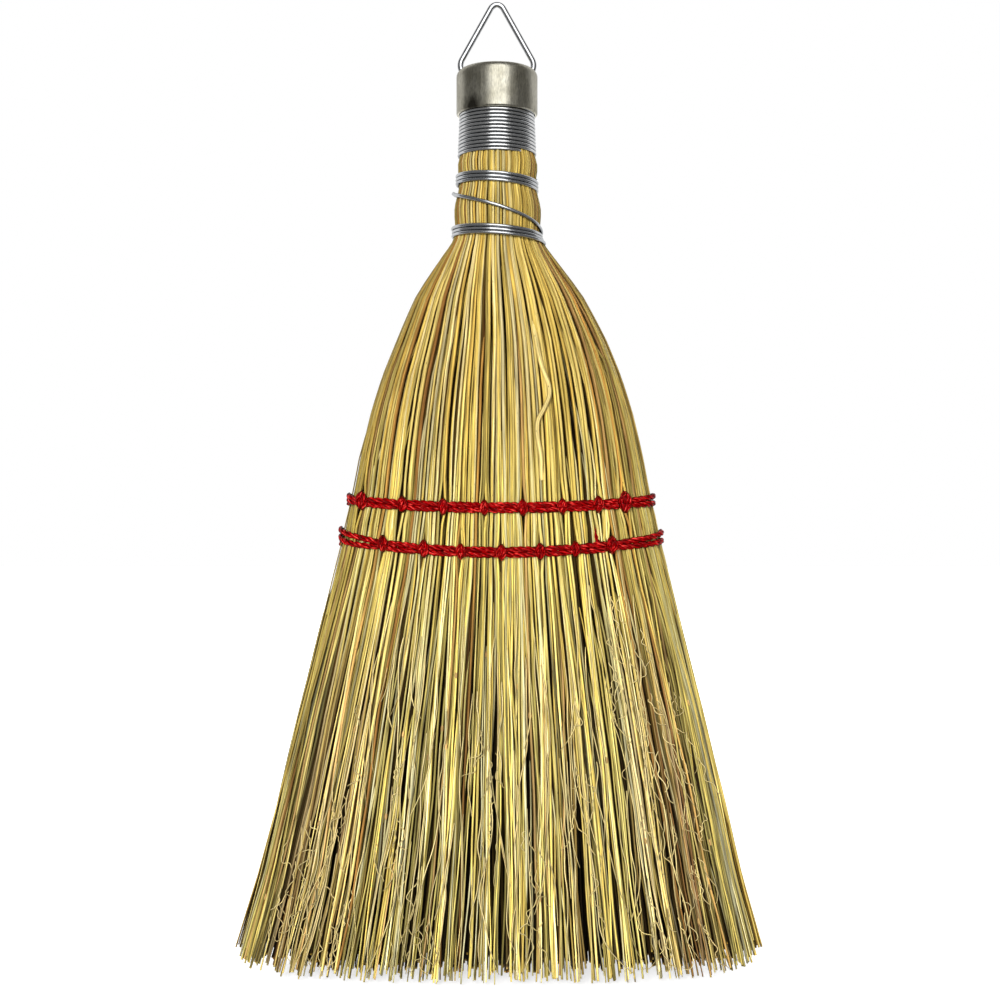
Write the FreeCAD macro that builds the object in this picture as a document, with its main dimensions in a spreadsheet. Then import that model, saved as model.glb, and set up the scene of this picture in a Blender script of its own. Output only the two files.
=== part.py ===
# Whisk broom of straw tufts, sewn with twine, bound with wire and closed by a cap with a hanging ring.
# Lengths are in millimetres. The broom stands on its tips, Z is up and its front looks along minus Y.
import FreeCAD
import Part

import math
import os
from collections import namedtuple

import Sketcher
from FreeCAD import Vector

doc = FreeCAD.newDocument("WhiskBroom")
sheet = doc.addObject("Spreadsheet::Sheet", "Sizes")

# Driving sizes
SIZES = (
    ("skirt_length", 139.0, "tips up to the middle of the lower twine band"),
    ("row_spacing", 14.5, "lower twine band up to the upper one"),
    ("body_length", 90.5, "upper twine band up to the low wire band"),
    ("band_spacing", 17.5, "low wire band up to the high one"),
    ("throat_length", 8.0, "high wire band up to the foot of the collar winding"),
    ("collar_length", 14.5, "bare collar winding below the cap"),
    ("tip_half_width", 87.5, "fan at the tips, half of its width"),
    ("tip_half_depth", 20.0, "fan at the tips, half of its depth"),
    ("tip_rise", 10.0, "how much higher the outermost tips are cut"),
    ("lower_half_width", 53.0, "fan at the lower twine band, half of its width"),
    ("upper_half_width", 50.0, "fan at the upper twine band, half of its width"),
    ("sewn_half_depth", 12.5, "fan at the twine bands, half of its depth"),
    ("lower_rise", 5.0, "how much higher the lower twine band is at the fan's edges"),
    ("upper_rise", 2.7, "how much higher the upper twine band is at the fan's edges"),
    ("belly_swell", 2.0, "how much the fan swells between the sewing and the neck"),
    ("low_band_radius", 14.3, "straw inside the low wire band"),
    ("waist_radius", 14.8, "straw between the two wire bands"),
    ("high_band_radius", 12.5, "straw inside the high wire band"),
    ("throat_radius", 13.3, "straw between the high wire band and the collar"),
    ("foot_radius", 12.4, "straw inside the foot of the collar"),
    ("handle_radius", 11.6, "straw inside the cap"),
    ("straw_gap", 0.4, "clear space between two tufts"),
    ("wire_diameter", 0.76, "binding wire"),
    ("wire_pitch", 1.2, "binding wire, one turn to the next"),
    ("wire_seat", 0.2, "clear space between straw and binding wire"),
    ("cap_height", 15.0, "cap, edge to top"),
    ("cap_wall", 0.5, "cap, sheet metal"),
    ("cap_clearance", 0.44, "clear space between binding wire and cap"),
    ("cap_shoulder", 2.4, "cap, outer radius of the shoulder"),
    ("cap_lip", 0.7, "cap, outer radius of the edge that is rolled in"),
    ("ring_wire", 2.0, "hanging ring, wire"),
    ("ring_height", 25.2, "hanging ring, swing line to the top"),
    ("ring_apex", 2.4, "hanging ring, bend at the top"),
    ("ring_corner", 4.0, "hanging ring, bend at the lower corners"),
    ("ring_inset", 2.93, "hanging ring, lower bend's centre inward of the shoulder's centre"),
    ("ring_end", 2.9, "hanging ring, straight end inside the cap"),
    ("ring_depth", 2.2, "swing line below the cap's top"),
    ("ring_clearance", 0.3, "clear space round the ring's wire in the cap"),
    ("ring_swing", 43.0, "degrees that the ring swings to each side"),
    ("twine_diameter", 1.5, "sewing twine round the fan"),
    ("twine_pitch", 2.0, "sewing twine, one strand to the next"),
    ("twine_seat", 0.35, "clear space between straw and twine"),
    ("stitch_diameter", 1.2, "sewing twine drawn tight in a stitch"),
    ("stitch_clearance", 0.3, "clear space round a stitch"),
    ("stitch_corner", 1.4, "bend of a stitch"),
)
for row, (alias, value, meaning) in enumerate(SIZES, start=1):
    sheet.set("A%d" % row, alias)
    sheet.set("B%d" % row, str(value))
    sheet.setAlias("B%d" % row, alias)
    sheet.set("C%d" % row, meaning)
doc.recompute()


def size(name):
    return float(sheet.get(name))


# Counts
COLUMNS = 16
EDGE_LOBES = 3
COLLAR_TURNS = 13
BAND_TURNS = 3
TWINE_TURNS = 2
QUARTERS = 4
BODY_STEPS = 7

# Shares
END_ROUND_SHARE = 0.6
INSIDE_DEPTH_SHARE = 0.45
CROWN_SHARE = 0.16
FLAT_TIP_SHARE = 0.625
FLARE_POWER = 1.7
BACK_DROP_SHARE = 0.18
BAND_TILT_SHARE = 0.05
COLLAR_END_DEGREES = 322.0
SLOT_END_DEGREES = 8.0
SLOT_SPARE_DEGREES = 26.0

# Heights that follow from the driving sizes
lower_height = size("skirt_length")
upper_height = lower_height + size("row_spacing")
low_band_height = upper_height + size("body_length")
high_band_height = low_band_height + size("band_spacing")
foot_height = high_band_height + size("throat_length")
cap_foot_height = foot_height + size("collar_length")
cap_top_height = cap_foot_height + size("cap_height")
pivot_height = cap_top_height - size("ring_depth")
straw_top_height = pivot_height - size("ring_wire") / 2 - size("ring_clearance")
CAP_TOP_TERMS = (
    "skirt_length", "row_spacing", "body_length", "band_spacing",
    "throat_length", "collar_length", "cap_height",
)
PIVOT_EXPRESSION = " + ".join("Sizes.%s" % term for term in CAP_TOP_TERMS) + " - Sizes.ring_depth"

# Sizes that follow from pieces that fit each other
wire_radius = size("wire_diameter") / 2
twine_radius = size("twine_diameter") / 2
stitch_radius = size("stitch_diameter") / 2
ring_radius = size("ring_wire") / 2
cap_radius = (
    size("handle_radius") + size("wire_seat") + size("wire_diameter")
    + size("cap_clearance") + size("cap_wall")
)
CAP_RADIUS_TERMS = ("handle_radius", "wire_seat", "wire_diameter", "cap_clearance", "cap_wall")
CAP_RADIUS_EXPRESSION = " + ".join("Sizes.%s" % term for term in CAP_RADIUS_TERMS)
band_tilt = BAND_TILT_SHARE * (size("low_band_radius") + size("wire_seat") + size("wire_diameter"))
band_half_height = size("wire_pitch") * BAND_TURNS / 2 + wire_radius + band_tilt + size("wire_seat")
stitch_room = stitch_radius + size("stitch_clearance")
stitch_half_height = size("twine_pitch") + twine_radius + stitch_room
sewn_half_height = stitch_half_height + stitch_room

# Outline of the straw from the tips to the cap
Station = namedtuple("Station", "height half_width half_depth rise flat_share")


def blend(low, high, share):
    return low + (high - low) * share


def ease(share):
    return share * share * (3.0 - 2.0 * share)


def straw_stations():
    lower = size("lower_half_width")
    upper = size("upper_half_width")
    depth = size("sewn_half_depth")
    low_radius = size("low_band_radius")
    found = [
        Station(0.0, size("tip_half_width"), size("tip_half_depth"), size("tip_rise"), FLAT_TIP_SHARE),
        Station(lower_height - sewn_half_height, lower, depth, size("lower_rise"), 0.0),
        Station(lower_height + sewn_half_height, lower, depth, size("lower_rise"), 0.0),
        Station(upper_height - sewn_half_height, upper, depth, size("upper_rise"), 0.0),
    ]
    body_foot = upper_height + sewn_half_height
    body_head = low_band_height - band_half_height
    for step in range(BODY_STEPS):
        share = step / BODY_STEPS
        half_width = blend(upper, low_radius, share ** FLARE_POWER)
        half_depth = blend(depth, low_radius, share)
        half_depth += size("belly_swell") * math.sin(math.pi * share)
        rise = size("upper_rise") * (1.0 - share)
        found.append(Station(blend(body_foot, body_head, share), half_width, half_depth, rise, 0.0))
    neck = (
        (body_head, low_radius),
        (low_band_height + band_half_height, low_radius),
        ((low_band_height + high_band_height) / 2, size("waist_radius")),
        (high_band_height - band_half_height, size("high_band_radius")),
        (high_band_height + band_half_height, size("high_band_radius")),
        ((high_band_height + band_half_height + foot_height) / 2, size("throat_radius")),
        (foot_height, size("foot_radius")),
        (cap_foot_height, size("handle_radius")),
        (straw_top_height, size("handle_radius")),
    )
    for height, radius in neck:
        found.append(Station(height, radius, radius, 0.0, 0.0))
    return found


STATIONS = straw_stations()


def neck_radius(height):
    for below, above in zip(STATIONS, STATIONS[1:]):
        if below.height <= height <= above.height:
            share = (height - below.height) / (above.height - below.height)
            return blend(below.half_depth, above.half_depth, share)
    return size("handle_radius")


def end_radius(half_depth):
    return END_ROUND_SHARE * half_depth


def side_radius(half_width, half_depth, end):
    return ((half_width - end) ** 2 + half_depth ** 2 - end ** 2) / (2 * (half_depth - end))


def oval_depth(x, half_width, half_depth, end):
    # An oval of four arcs that meet smoothly, the long sides first and then the round ends
    x = min(abs(x), half_width)
    side = side_radius(half_width, half_depth, end)
    meet = (half_width - end) * side / (side - end)
    if x <= meet:
        return half_depth - side + math.sqrt(side ** 2 - x ** 2)
    return math.sqrt(max(end ** 2 - (x - half_width + end) ** 2, 0.0))


def outline_depth(station, x):
    return oval_depth(x, station.half_width, station.half_depth, end_radius(station.half_depth))


def rise_at(station, share):
    raised = max(abs(share) - station.flat_share, 0.0) / (1.0 - station.flat_share)
    return station.height + station.rise * raised ** 2


def column_share(index):
    return 2.0 * index / COLUMNS - 1.0


# Sub-parts
nodes = []


def add_feature(label, shape):
    feature = doc.addObject("Part::Feature", label)
    feature.Label = label
    feature.Shape = shape
    feature.Placement = FreeCAD.Placement()
    nodes.append(feature)
    return feature


# Sketch helpers
def origin_plane(body, role):
    for found in body.Origin.OriginFeatures:
        if found.Role == role:
            return found
    raise ValueError("no plane %s" % role)


def new_sketch(body, name, role):
    sketch = body.newObject("Sketcher::SketchObject", name)
    sketch.AttachmentSupport = [(origin_plane(body, role), "")]
    sketch.MapMode = "FlatFace"
    return sketch


def line(x0, y0, x1, y1):
    return Part.LineSegment(Vector(x0, y0, 0), Vector(x1, y1, 0))


def arc(x, y, radius, start, end):
    circle = Part.Circle(Vector(x, y, 0), Vector(0, 0, 1), radius)
    return Part.ArcOfCircle(circle, math.radians(start), math.radians(end))


def draw_chain(sketch, curves, closed, smooth):
    # Each pair named in smooth meets without a corner
    first = sketch.GeometryCount
    for curve in curves:
        sketch.addGeometry(curve, False)
    count = len(curves)
    pairs = count if closed else count - 1
    for index in range(pairs):
        following = (index + 1) % count
        best = None
        for end in (1, 2):
            for start in (1, 2):
                here = curves[index].StartPoint if end == 1 else curves[index].EndPoint
                there = curves[following].StartPoint if start == 1 else curves[following].EndPoint
                apart = here.distanceToPoint(there)
                if best is None or apart < best[0]:
                    best = (apart, end, start)
        kind = "Tangent" if index in smooth else "Coincident"
        sketch.addConstraint(
            Sketcher.Constraint(kind, first + index, best[1], first + following, best[2])
        )


def bind(sketch, name, expression, *constraint):
    index = sketch.addConstraint(Sketcher.Constraint(*constraint))
    sketch.renameConstraint(index, name)
    sketch.setExpression("Constraints.%s" % name, expression)


# Cap, a turned shell whose own origin lies on the ring's swing line
def make_cap():
    body = doc.addObject("PartDesign::Body", "cap")
    body.Label = "cap"
    wall = size("cap_wall")
    shoulder = size("cap_shoulder")
    lip = size("cap_lip")
    top = size("ring_depth")
    foot = top - size("cap_height")
    turn = cap_radius - shoulder
    sketch = new_sketch(body, "CapProfile", "XZ_Plane")
    curves = [
        line(cap_radius, foot + lip, cap_radius, top - shoulder),
        arc(turn, top - shoulder, shoulder, 0, 90),
        line(turn, top, 0, top),
        line(0, top, 0, top - wall),
        line(0, top - wall, turn, top - wall),
        arc(turn, top - shoulder, shoulder - wall, 0, 90),
        line(cap_radius - wall, top - shoulder, cap_radius - wall, foot + lip),
        arc(cap_radius - lip, foot + lip, lip - wall, 270, 360),
        line(cap_radius - lip, foot + wall, cap_radius - lip, foot),
        arc(cap_radius - lip, foot + lip, lip, 270, 360),
    ]
    outer, bend, lid, axis, under, hollow, inner, roll, edge, curl = range(len(curves))
    draw_chain(sketch, curves, True, (outer, bend, under, hollow, inner, curl))
    for upright in (outer, axis, inner, edge):
        sketch.addConstraint(Sketcher.Constraint("Vertical", upright))
    for level in (lid, under):
        sketch.addConstraint(Sketcher.Constraint("Horizontal", level))
    sketch.addConstraint(Sketcher.Constraint("PointOnObject", axis, 1, -2))
    sketch.addConstraint(Sketcher.Constraint("Coincident", bend, 3, hollow, 3))
    sketch.addConstraint(Sketcher.Constraint("Coincident", roll, 3, curl, 3))
    sketch.addConstraint(Sketcher.Constraint("PointOnObject", curl, 3, edge))
    bind(sketch, "radius", CAP_RADIUS_EXPRESSION, "DistanceX", -1, 1, outer, 1, cap_radius)
    bind(sketch, "top", "Sizes.ring_depth", "DistanceY", -1, 1, axis, 1, top)
    bind(sketch, "shoulder", "Sizes.cap_shoulder", "Radius", bend, shoulder)
    bind(sketch, "wall", "Sizes.cap_wall", "DistanceY", axis, 2, axis, 1, wall)
    bind(sketch, "lip", "Sizes.cap_lip", "Radius", curl, lip)
    bind(sketch, "height", "Sizes.cap_height", "DistanceY", edge, 2, axis, 1, size("cap_height"))
    shell = body.newObject("PartDesign::Revolution", "CapShell")
    shell.Profile = sketch
    shell.ReferenceAxis = (sketch, ["V_Axis"])
    shell.Angle = 360.0
    doc.recompute()
    plain_volume = shell.Shape.Volume

    # Slot in the shoulder that the ring's bend sweeps as it swings
    corner = size("ring_corner")
    spare = ring_radius + size("ring_clearance")
    centre = turn - size("ring_inset")
    start = -math.degrees(math.asin(corner / (corner + spare)))
    end = math.radians(SLOT_END_DEGREES)
    slot_sketch = new_sketch(body, "SlotProfile", "XZ_Plane")
    reach = centre + (corner + spare) * math.cos(math.radians(start))
    slot = [
        line(centre, 0, reach, 0),
        arc(centre, corner, corner + spare, start, SLOT_END_DEGREES),
        line(
            centre + (corner - spare) * math.cos(end), corner + (corner - spare) * math.sin(end),
            centre + (corner + spare) * math.cos(end), corner + (corner + spare) * math.sin(end),
        ),
        arc(centre, corner, corner - spare, -90, SLOT_END_DEGREES),
        line(centre, spare, centre, 0),
    ]
    draw_chain(slot_sketch, slot, True, ())
    centre_expression = CAP_RADIUS_EXPRESSION + " - Sizes.cap_shoulder - Sizes.ring_inset"
    spare_expression = "Sizes.ring_wire / 2 + Sizes.ring_clearance"
    slot_sketch.addConstraint(Sketcher.Constraint("PointOnObject", 0, 1, -1))
    slot_sketch.addConstraint(Sketcher.Constraint("Horizontal", 0))
    slot_sketch.addConstraint(Sketcher.Constraint("Vertical", 4))
    slot_sketch.addConstraint(Sketcher.Constraint("Coincident", 1, 3, 3, 3))
    slot_sketch.addConstraint(Sketcher.Constraint("PointOnObject", 1, 3, 4))
    slot_sketch.addConstraint(Sketcher.Constraint("PointOnObject", 1, 3, 2))
    slot_sketch.addConstraint(Sketcher.Constraint("Angle", 2, end))
    bind(slot_sketch, "centre", centre_expression, "DistanceX", -1, 1, 1, 3, centre)
    bind(slot_sketch, "corner", "Sizes.ring_corner", "DistanceY", -1, 1, 1, 3, corner)
    bind(
        slot_sketch, "outside", "Sizes.ring_corner + " + spare_expression,
        "Radius", 1, corner + spare,
    )
    bind(
        slot_sketch, "inside", "Sizes.ring_corner - Sizes.ring_wire / 2 - Sizes.ring_clearance",
        "Radius", 3, corner - spare,
    )
    groove = body.newObject("PartDesign::Groove", "RingSlot")
    groove.Profile = slot_sketch
    groove.ReferenceAxis = (slot_sketch, ["H_Axis"])
    groove.Midplane = True
    groove.Angle = 2 * (size("ring_swing") + SLOT_SPARE_DEGREES)
    groove.setExpression("Angle", "2 * (Sizes.ring_swing + %s)" % SLOT_SPARE_DEGREES)
    doc.recompute()
    one_slot_volume = groove.Shape.Volume
    mirrored = body.newObject("PartDesign::Mirrored", "RingSlots")
    mirrored.Originals = [groove]
    mirrored.MirrorPlane = (origin_plane(body, "YZ_Plane"), [""])
    body.Tip = mirrored
    body.setExpression("Placement.Base.z", PIVOT_EXPRESSION)
    doc.recompute()
    print("cap volumes", plain_volume, one_slot_volume, body.Shape.Volume)
    nodes.append(body)
    return body


# Hanging ring, one bent wire whose own origin lies on its swing line
def make_ring():
    body = doc.addObject("PartDesign::Body", "hang_ring")
    body.Label = "hang_ring"
    corner = size("ring_corner")
    apex = size("ring_apex")
    centre = cap_radius - size("cap_shoulder") - size("ring_inset")
    inner = centre - size("ring_end")
    apex_centre = size("ring_height") - ring_radius - apex
    up = apex_centre - corner
    slope = math.atan2(centre, up) + math.asin((corner - apex) / math.hypot(centre, up))
    lean = math.degrees(slope)
    side = Vector(math.cos(slope), math.sin(slope), 0)
    low = Vector(centre, corner, 0) + side * corner
    high = Vector(0, apex_centre, 0) + side * apex
    path = new_sketch(body, "RingPath", "XZ_Plane")
    curves = [
        line(inner, 0, centre, 0),
        arc(centre, corner, corner, -90, lean),
        line(low.x, low.y, high.x, high.y),
        arc(0, apex_centre, apex, lean, 180 - lean),
        line(-high.x, high.y, -low.x, low.y),
        arc(-centre, corner, corner, 180 - lean, 270),
        line(-centre, 0, -inner, 0),
    ]
    draw_chain(path, curves, False, range(len(curves)))
    path.addConstraint(Sketcher.Constraint("PointOnObject", 0, 1, -1))
    path.addConstraint(Sketcher.Constraint("PointOnObject", 0, 2, -1))
    path.addConstraint(Sketcher.Constraint("PointOnObject", 3, 3, -2))
    path.addConstraint(Sketcher.Constraint("Symmetric", 0, 1, 6, 2, -2))
    path.addConstraint(Sketcher.Constraint("Symmetric", 0, 2, 6, 1, -2))
    centre_expression = CAP_RADIUS_EXPRESSION + " - Sizes.cap_shoulder - Sizes.ring_inset"
    bind(path, "corner", "Sizes.ring_corner", "Radius", 1, corner)
    bind(path, "far_corner", "Sizes.ring_corner", "Radius", 5, corner)
    bind(path, "apex", "Sizes.ring_apex", "Radius", 3, apex)
    bind(path, "centre", centre_expression, "DistanceX", -1, 1, 0, 2, centre)
    bind(path, "end", "Sizes.ring_end", "DistanceX", 0, 1, 0, 2, size("ring_end"))
    bind(
        path, "height", "Sizes.ring_height - Sizes.ring_wire / 2 - Sizes.ring_apex",
        "DistanceY", -1, 1, 3, 3, apex_centre,
    )
    profile = new_sketch(body, "RingWire", "YZ_Plane")
    profile.AttachmentOffset = FreeCAD.Placement(Vector(0, 0, inner), FreeCAD.Rotation())
    profile.setExpression("AttachmentOffset.Base.z", centre_expression + " - Sizes.ring_end")
    profile.addGeometry(Part.Circle(Vector(0, 0, 0), Vector(0, 0, 1), ring_radius), False)
    profile.addConstraint(Sketcher.Constraint("Coincident", 0, 3, -1, 1))
    bind(profile, "radius", "Sizes.ring_wire / 2", "Radius", 0, ring_radius)
    doc.recompute()
    pipe = body.newObject("PartDesign::AdditivePipe", "RingBend")
    pipe.Profile = profile
    pipe.Spine = (path, ["Edge%d" % (index + 1) for index in range(len(curves))])
    body.Tip = pipe
    body.setExpression("Placement.Base.z", PIVOT_EXPRESSION)
    doc.recompute()
    nodes.append(body)
    return body


# Windings
def biarc(start, start_way, end, end_way, ratio):
    # Two arcs that leave and arrive along the given directions and meet smoothly
    across = end - start
    square = 2.0 * ratio * (start_way.dot(end_way) - 1.0)
    linear = -2.0 * (ratio * across.dot(start_way) + across.dot(end_way))
    plain = across.dot(across)
    root = math.sqrt(linear ** 2 - 4.0 * square * plain)
    second = 2.0 * plain / (root - linear)
    first = ratio * second
    start_knee = start + start_way * first
    end_knee = end - end_way * second
    meet = (start_knee * second + end_knee * first) * (1.0 / (first + second))
    return [arc_over(start, start_knee, meet), arc_over(meet, end_knee, end)]


def arc_over(start, knee, end):
    middle = (start + end) * 0.5
    half = start.distanceToPoint(end) / 2
    tangent = start.distanceToPoint(knee)
    turn = math.acos(min(half / tangent, 1.0))
    rise = half * math.tan(turn / 2)
    outward = knee - middle
    outward.normalize()
    return Part.Arc(start, middle + outward * rise, end)


def way_at(point_at, turn):
    step = 1.0 / 4096
    way = point_at(turn + step) - point_at(turn - step)
    way.normalize()
    return way


def wind(label, point_at, turns, diameter, ratio_at):
    # One unbroken tube, a biarc for each quarter turn, with short straight ends
    marks = [quarter / QUARTERS for quarter in range(int(turns * QUARTERS) + 1)]
    points = [point_at(mark) for mark in marks]
    ways = [way_at(point_at, mark) for mark in marks]
    curves = []
    for index in range(len(marks) - 1):
        pieces = biarc(
            points[index], ways[index], points[index + 1], ways[index + 1], ratio_at(index),
        )
        curves.extend(pieces)
    lead = points[0] - ways[0] * diameter
    tail = points[-1] + ways[-1] * diameter
    edges = [Part.LineSegment(lead, points[0]).toShape()]
    edges += [curve.toShape() for curve in curves]
    edges.append(Part.LineSegment(points[-1], tail).toShape())
    spine = Part.Wire(edges)
    profile = Part.Wire([Part.Circle(lead, ways[0], diameter / 2).toShape()])
    tube = spine.makePipeShell([profile], True, False)
    if tube.Volume < 0:
        tube.reverse()
    report_gap(label, curves, diameter, turns)
    plain_volume = spine.Length * math.pi * diameter ** 2 / 4
    print(label, "tube volume over plain length", tube.Volume / plain_volume)
    return tube


def report_gap(label, curves, diameter, turns):
    per_curve = 12
    samples = []
    for curve in curves:
        first = curve.FirstParameter
        last = curve.LastParameter
        for step in range(per_curve):
            samples.append(curve.value(blend(first, last, step / per_curve)))
    per_turn = int(len(samples) / turns)
    apart = per_turn // 2
    least = None
    for index, here in enumerate(samples):
        for there in samples[index + apart:index + apart + per_turn]:
            distance = here.distanceToPoint(there)
            if least is None or distance < least:
                least = distance
    print(label, "least gap to itself", round(least - diameter, 3))


def round_point(angle, height):
    radius = neck_radius(height) + size("wire_seat") + wire_radius
    return Vector(radius * math.cos(angle), radius * math.sin(angle), height)


def collar_point(turn):
    angle = math.radians(COLLAR_END_DEGREES) + 2 * math.pi * (turn - COLLAR_TURNS)
    height = foot_height + wire_radius + size("wire_pitch") * (COLLAR_TURNS - turn)
    return round_point(angle, height)


def neck_point(turn):
    angle = 2 * math.pi * turn
    pitch = size("wire_pitch")
    half_band = pitch * BAND_TURNS / 2
    high_end = high_band_height - half_band
    low_start = low_band_height + half_band
    back_end = high_end - (high_end - low_start) * BACK_DROP_SHARE
    if turn <= BAND_TURNS:
        height = high_end + pitch * (BAND_TURNS - turn)
    elif turn <= BAND_TURNS + 0.5:
        height = blend(high_end, back_end, ease(2 * (turn - BAND_TURNS)))
    elif turn <= BAND_TURNS + 1:
        height = blend(back_end, low_start, ease(2 * (turn - BAND_TURNS) - 1))
    else:
        height = low_start - pitch * (turn - BAND_TURNS - 1)
    level = round_point(angle, height)
    tilt = -BAND_TILT_SHARE * level.x
    return round_point(angle, height + tilt)


def even(index):
    return 1.0


def make_twine(label, height, half_width, rise):
    spread = size("twine_seat") + twine_radius
    depth = size("sewn_half_depth")
    end = end_radius(depth) + spread
    wide = half_width + spread
    deep = depth + spread
    side = side_radius(wide, deep, end)
    bend = math.atan2(side - deep, wide - end)
    end_turn = end * math.tan(bend / 2)
    side_turn = side * math.tan((math.pi / 2 - bend) / 2)

    def point(turn):
        angle = math.pi + 2 * math.pi * turn
        x = wide * math.cos(angle)
        y = deep * math.sin(angle)
        climb = rise * math.cos(angle) ** 2
        return Vector(x, y, height + climb + size("twine_pitch") * (TWINE_TURNS / 2 - turn))

    def ratio(index):
        if index % 2 == 0:
            return end_turn / side_turn
        return side_turn / end_turn

    add_feature(label, wind(label, point, TWINE_TURNS, size("twine_diameter"), ratio))


# Stitches and the slots that they pull between the tufts
Stitch = namedtuple("Stitch", "share x height half_width")


def stitch_places(height, half_width, rise, indices):
    places = []
    for index in indices:
        share = column_share(index)
        places.append(Stitch(share, half_width * share, height + rise * share ** 2, half_width))
    return places


UPPER_STITCHES = stitch_places(
    upper_height, size("upper_half_width"), size("upper_rise"), range(1, COLUMNS, 2),
)
LOWER_STITCHES = stitch_places(
    lower_height, size("lower_half_width"), size("lower_rise"), range(2, COLUMNS - 1, 2),
)


def stitch_loop(stitch):
    spread = size("twine_seat") + size("twine_diameter") + stitch_room
    depth = size("sewn_half_depth")
    deep = oval_depth(
        max(abs(stitch.x) - stitch_radius, 0.0), stitch.half_width + spread, depth + spread,
        end_radius(depth) + spread,
    )
    corner = size("stitch_corner")
    tall = stitch_half_height

    def spot(y, z):
        return Vector(stitch.x, y, stitch.height + z)

    diagonal = corner * (1.0 - math.sqrt(0.5))
    edges = []
    for turn_y, turn_z in ((-1, -1), (1, -1), (1, 1), (-1, 1)):
        before = spot(turn_y * deep, turn_z * (tall - corner))
        after = spot(turn_y * (deep - corner), turn_z * tall)
        middle = spot(turn_y * (deep - diagonal), turn_z * (tall - diagonal))
        edges.append(Part.Arc(before, middle, after).toShape())
    edges.append(Part.LineSegment(spot(-deep, corner - tall), spot(-deep, tall - corner)).toShape())
    edges.append(Part.LineSegment(spot(deep, corner - tall), spot(deep, tall - corner)).toShape())
    edges.append(Part.LineSegment(spot(corner - deep, tall), spot(deep - corner, tall)).toShape())
    edges.append(Part.LineSegment(spot(corner - deep, -tall), spot(deep - corner, -tall)).toShape())
    spine = Part.Wire(Part.__sortEdges__(edges))
    first = spine.OrderedEdges[0]
    start = first.valueAt(first.FirstParameter)
    way = first.tangentAt(first.FirstParameter)
    profile = Part.Wire([Part.Circle(start, way, stitch_radius).toShape()])
    return spine.makePipeShell([profile], True, False)


def seam_x(share, height):
    # Where the seam between two tufts runs at a height
    for below, above in zip(STATIONS, STATIONS[1:]):
        foot = rise_at(below, share)
        head = rise_at(above, share)
        if foot <= height <= head:
            return share * blend(below.half_width, above.half_width, (height - foot) / (head - foot))
    raise ValueError("no seam at height %s" % height)


def slot_prism(stitch):
    # The slot follows the seam and closes midway between the two rows
    point = size("row_spacing") / 2
    far = 2 * size("tip_half_depth")
    corners = (
        (0.0, point), (stitch_room, sewn_half_height), (stitch_room, -sewn_half_height),
        (0.0, -point), (-stitch_room, -sewn_half_height), (-stitch_room, sewn_half_height), (0.0, point),
    )
    spots = []
    for x, z in corners:
        height = stitch.height + z
        spots.append(Vector(seam_x(stitch.share, height) + x, -far, height))
    return Part.Face(Part.makePolygon(spots)).extrude(Vector(0, 2 * far, 0))


# Tufts
def outer_section(station, first, last, side):
    gap = size("straw_gap") / 2
    x0 = station.half_width * first + gap
    x1 = station.half_width * last - gap
    z0 = rise_at(station, first)
    z1 = rise_at(station, last)
    middle = (x0 + x1) / 2
    crown = CROWN_SHARE * (x1 - x0)

    def inside(x):
        return side * (INSIDE_DEPTH_SHARE * outline_depth(station, x) + gap)

    def outside(x):
        return side * (outline_depth(station, x) - crown)

    inner_first = Vector(x0, inside(x0), z0)
    inner_last = Vector(x1, inside(x1), z1)
    outer_first = Vector(x0, outside(x0), z0)
    outer_last = Vector(x1, outside(x1), z1)
    top = Vector(middle, side * outline_depth(station, middle), (z0 + z1) / 2)
    return Part.Wire([
        Part.LineSegment(inner_first, inner_last).toShape(),
        Part.LineSegment(inner_last, outer_last).toShape(),
        Part.Arc(outer_last, top, outer_first).toShape(),
        Part.LineSegment(outer_first, inner_first).toShape(),
    ])


def inside_section(station, first, last):
    gap = size("straw_gap") / 2
    x0 = station.half_width * first + gap
    x1 = station.half_width * last - gap
    z0 = rise_at(station, first)
    z1 = rise_at(station, last)
    middle = (x0 + x1) / 2

    def depth(x):
        return INSIDE_DEPTH_SHARE * outline_depth(station, x) - gap

    ring = [
        Vector(x0, -depth(x0), z0), Vector(middle, -depth(middle), (z0 + z1) / 2),
        Vector(x1, -depth(x1), z1), Vector(x1, depth(x1), z1),
        Vector(middle, depth(middle), (z0 + z1) / 2), Vector(x0, depth(x0), z0),
    ]
    return Part.makePolygon(ring + ring[:1])


def edge_section(station, first, side):
    gap = size("straw_gap") / 2
    x0 = station.half_width * first + gap
    z0 = rise_at(station, first)
    z1 = rise_at(station, 1.0)
    depth = outline_depth(station, x0)
    out = station.half_width - x0
    radius = (depth ** 2 + out ** 2) / (2 * out)
    half_turn = math.atan2(depth, radius - out)
    lobe_turn = 2 * half_turn / EDGE_LOBES
    crown = CROWN_SHARE * 2 * radius * math.sin(lobe_turn / 2)

    def spot(turn, drop):
        x = station.half_width - radius + (radius - drop) * math.cos(turn)
        y = (radius - drop) * math.sin(turn)
        return Vector(side * x, y, blend(z0, z1, (x - x0) / out))

    # Lobes meet in valleys, and their crests lie on the outline
    turns = [lobe_turn * number - half_turn for number in range(EDGE_LOBES)]
    valleys = [Vector(side * x0, crown - depth, z0)]
    valleys += [spot(turn, crown) for turn in turns[1:]]
    valleys.append(Vector(side * x0, depth - crown, z0))
    edges = []
    for turn, start, end in zip(turns, valleys, valleys[1:]):
        edges.append(Part.Arc(start, spot(turn + lobe_turn / 2, 0.0), end).toShape())
    edges.append(Part.LineSegment(valleys[-1], valleys[0]).toShape())
    return Part.Wire(edges)


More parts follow.
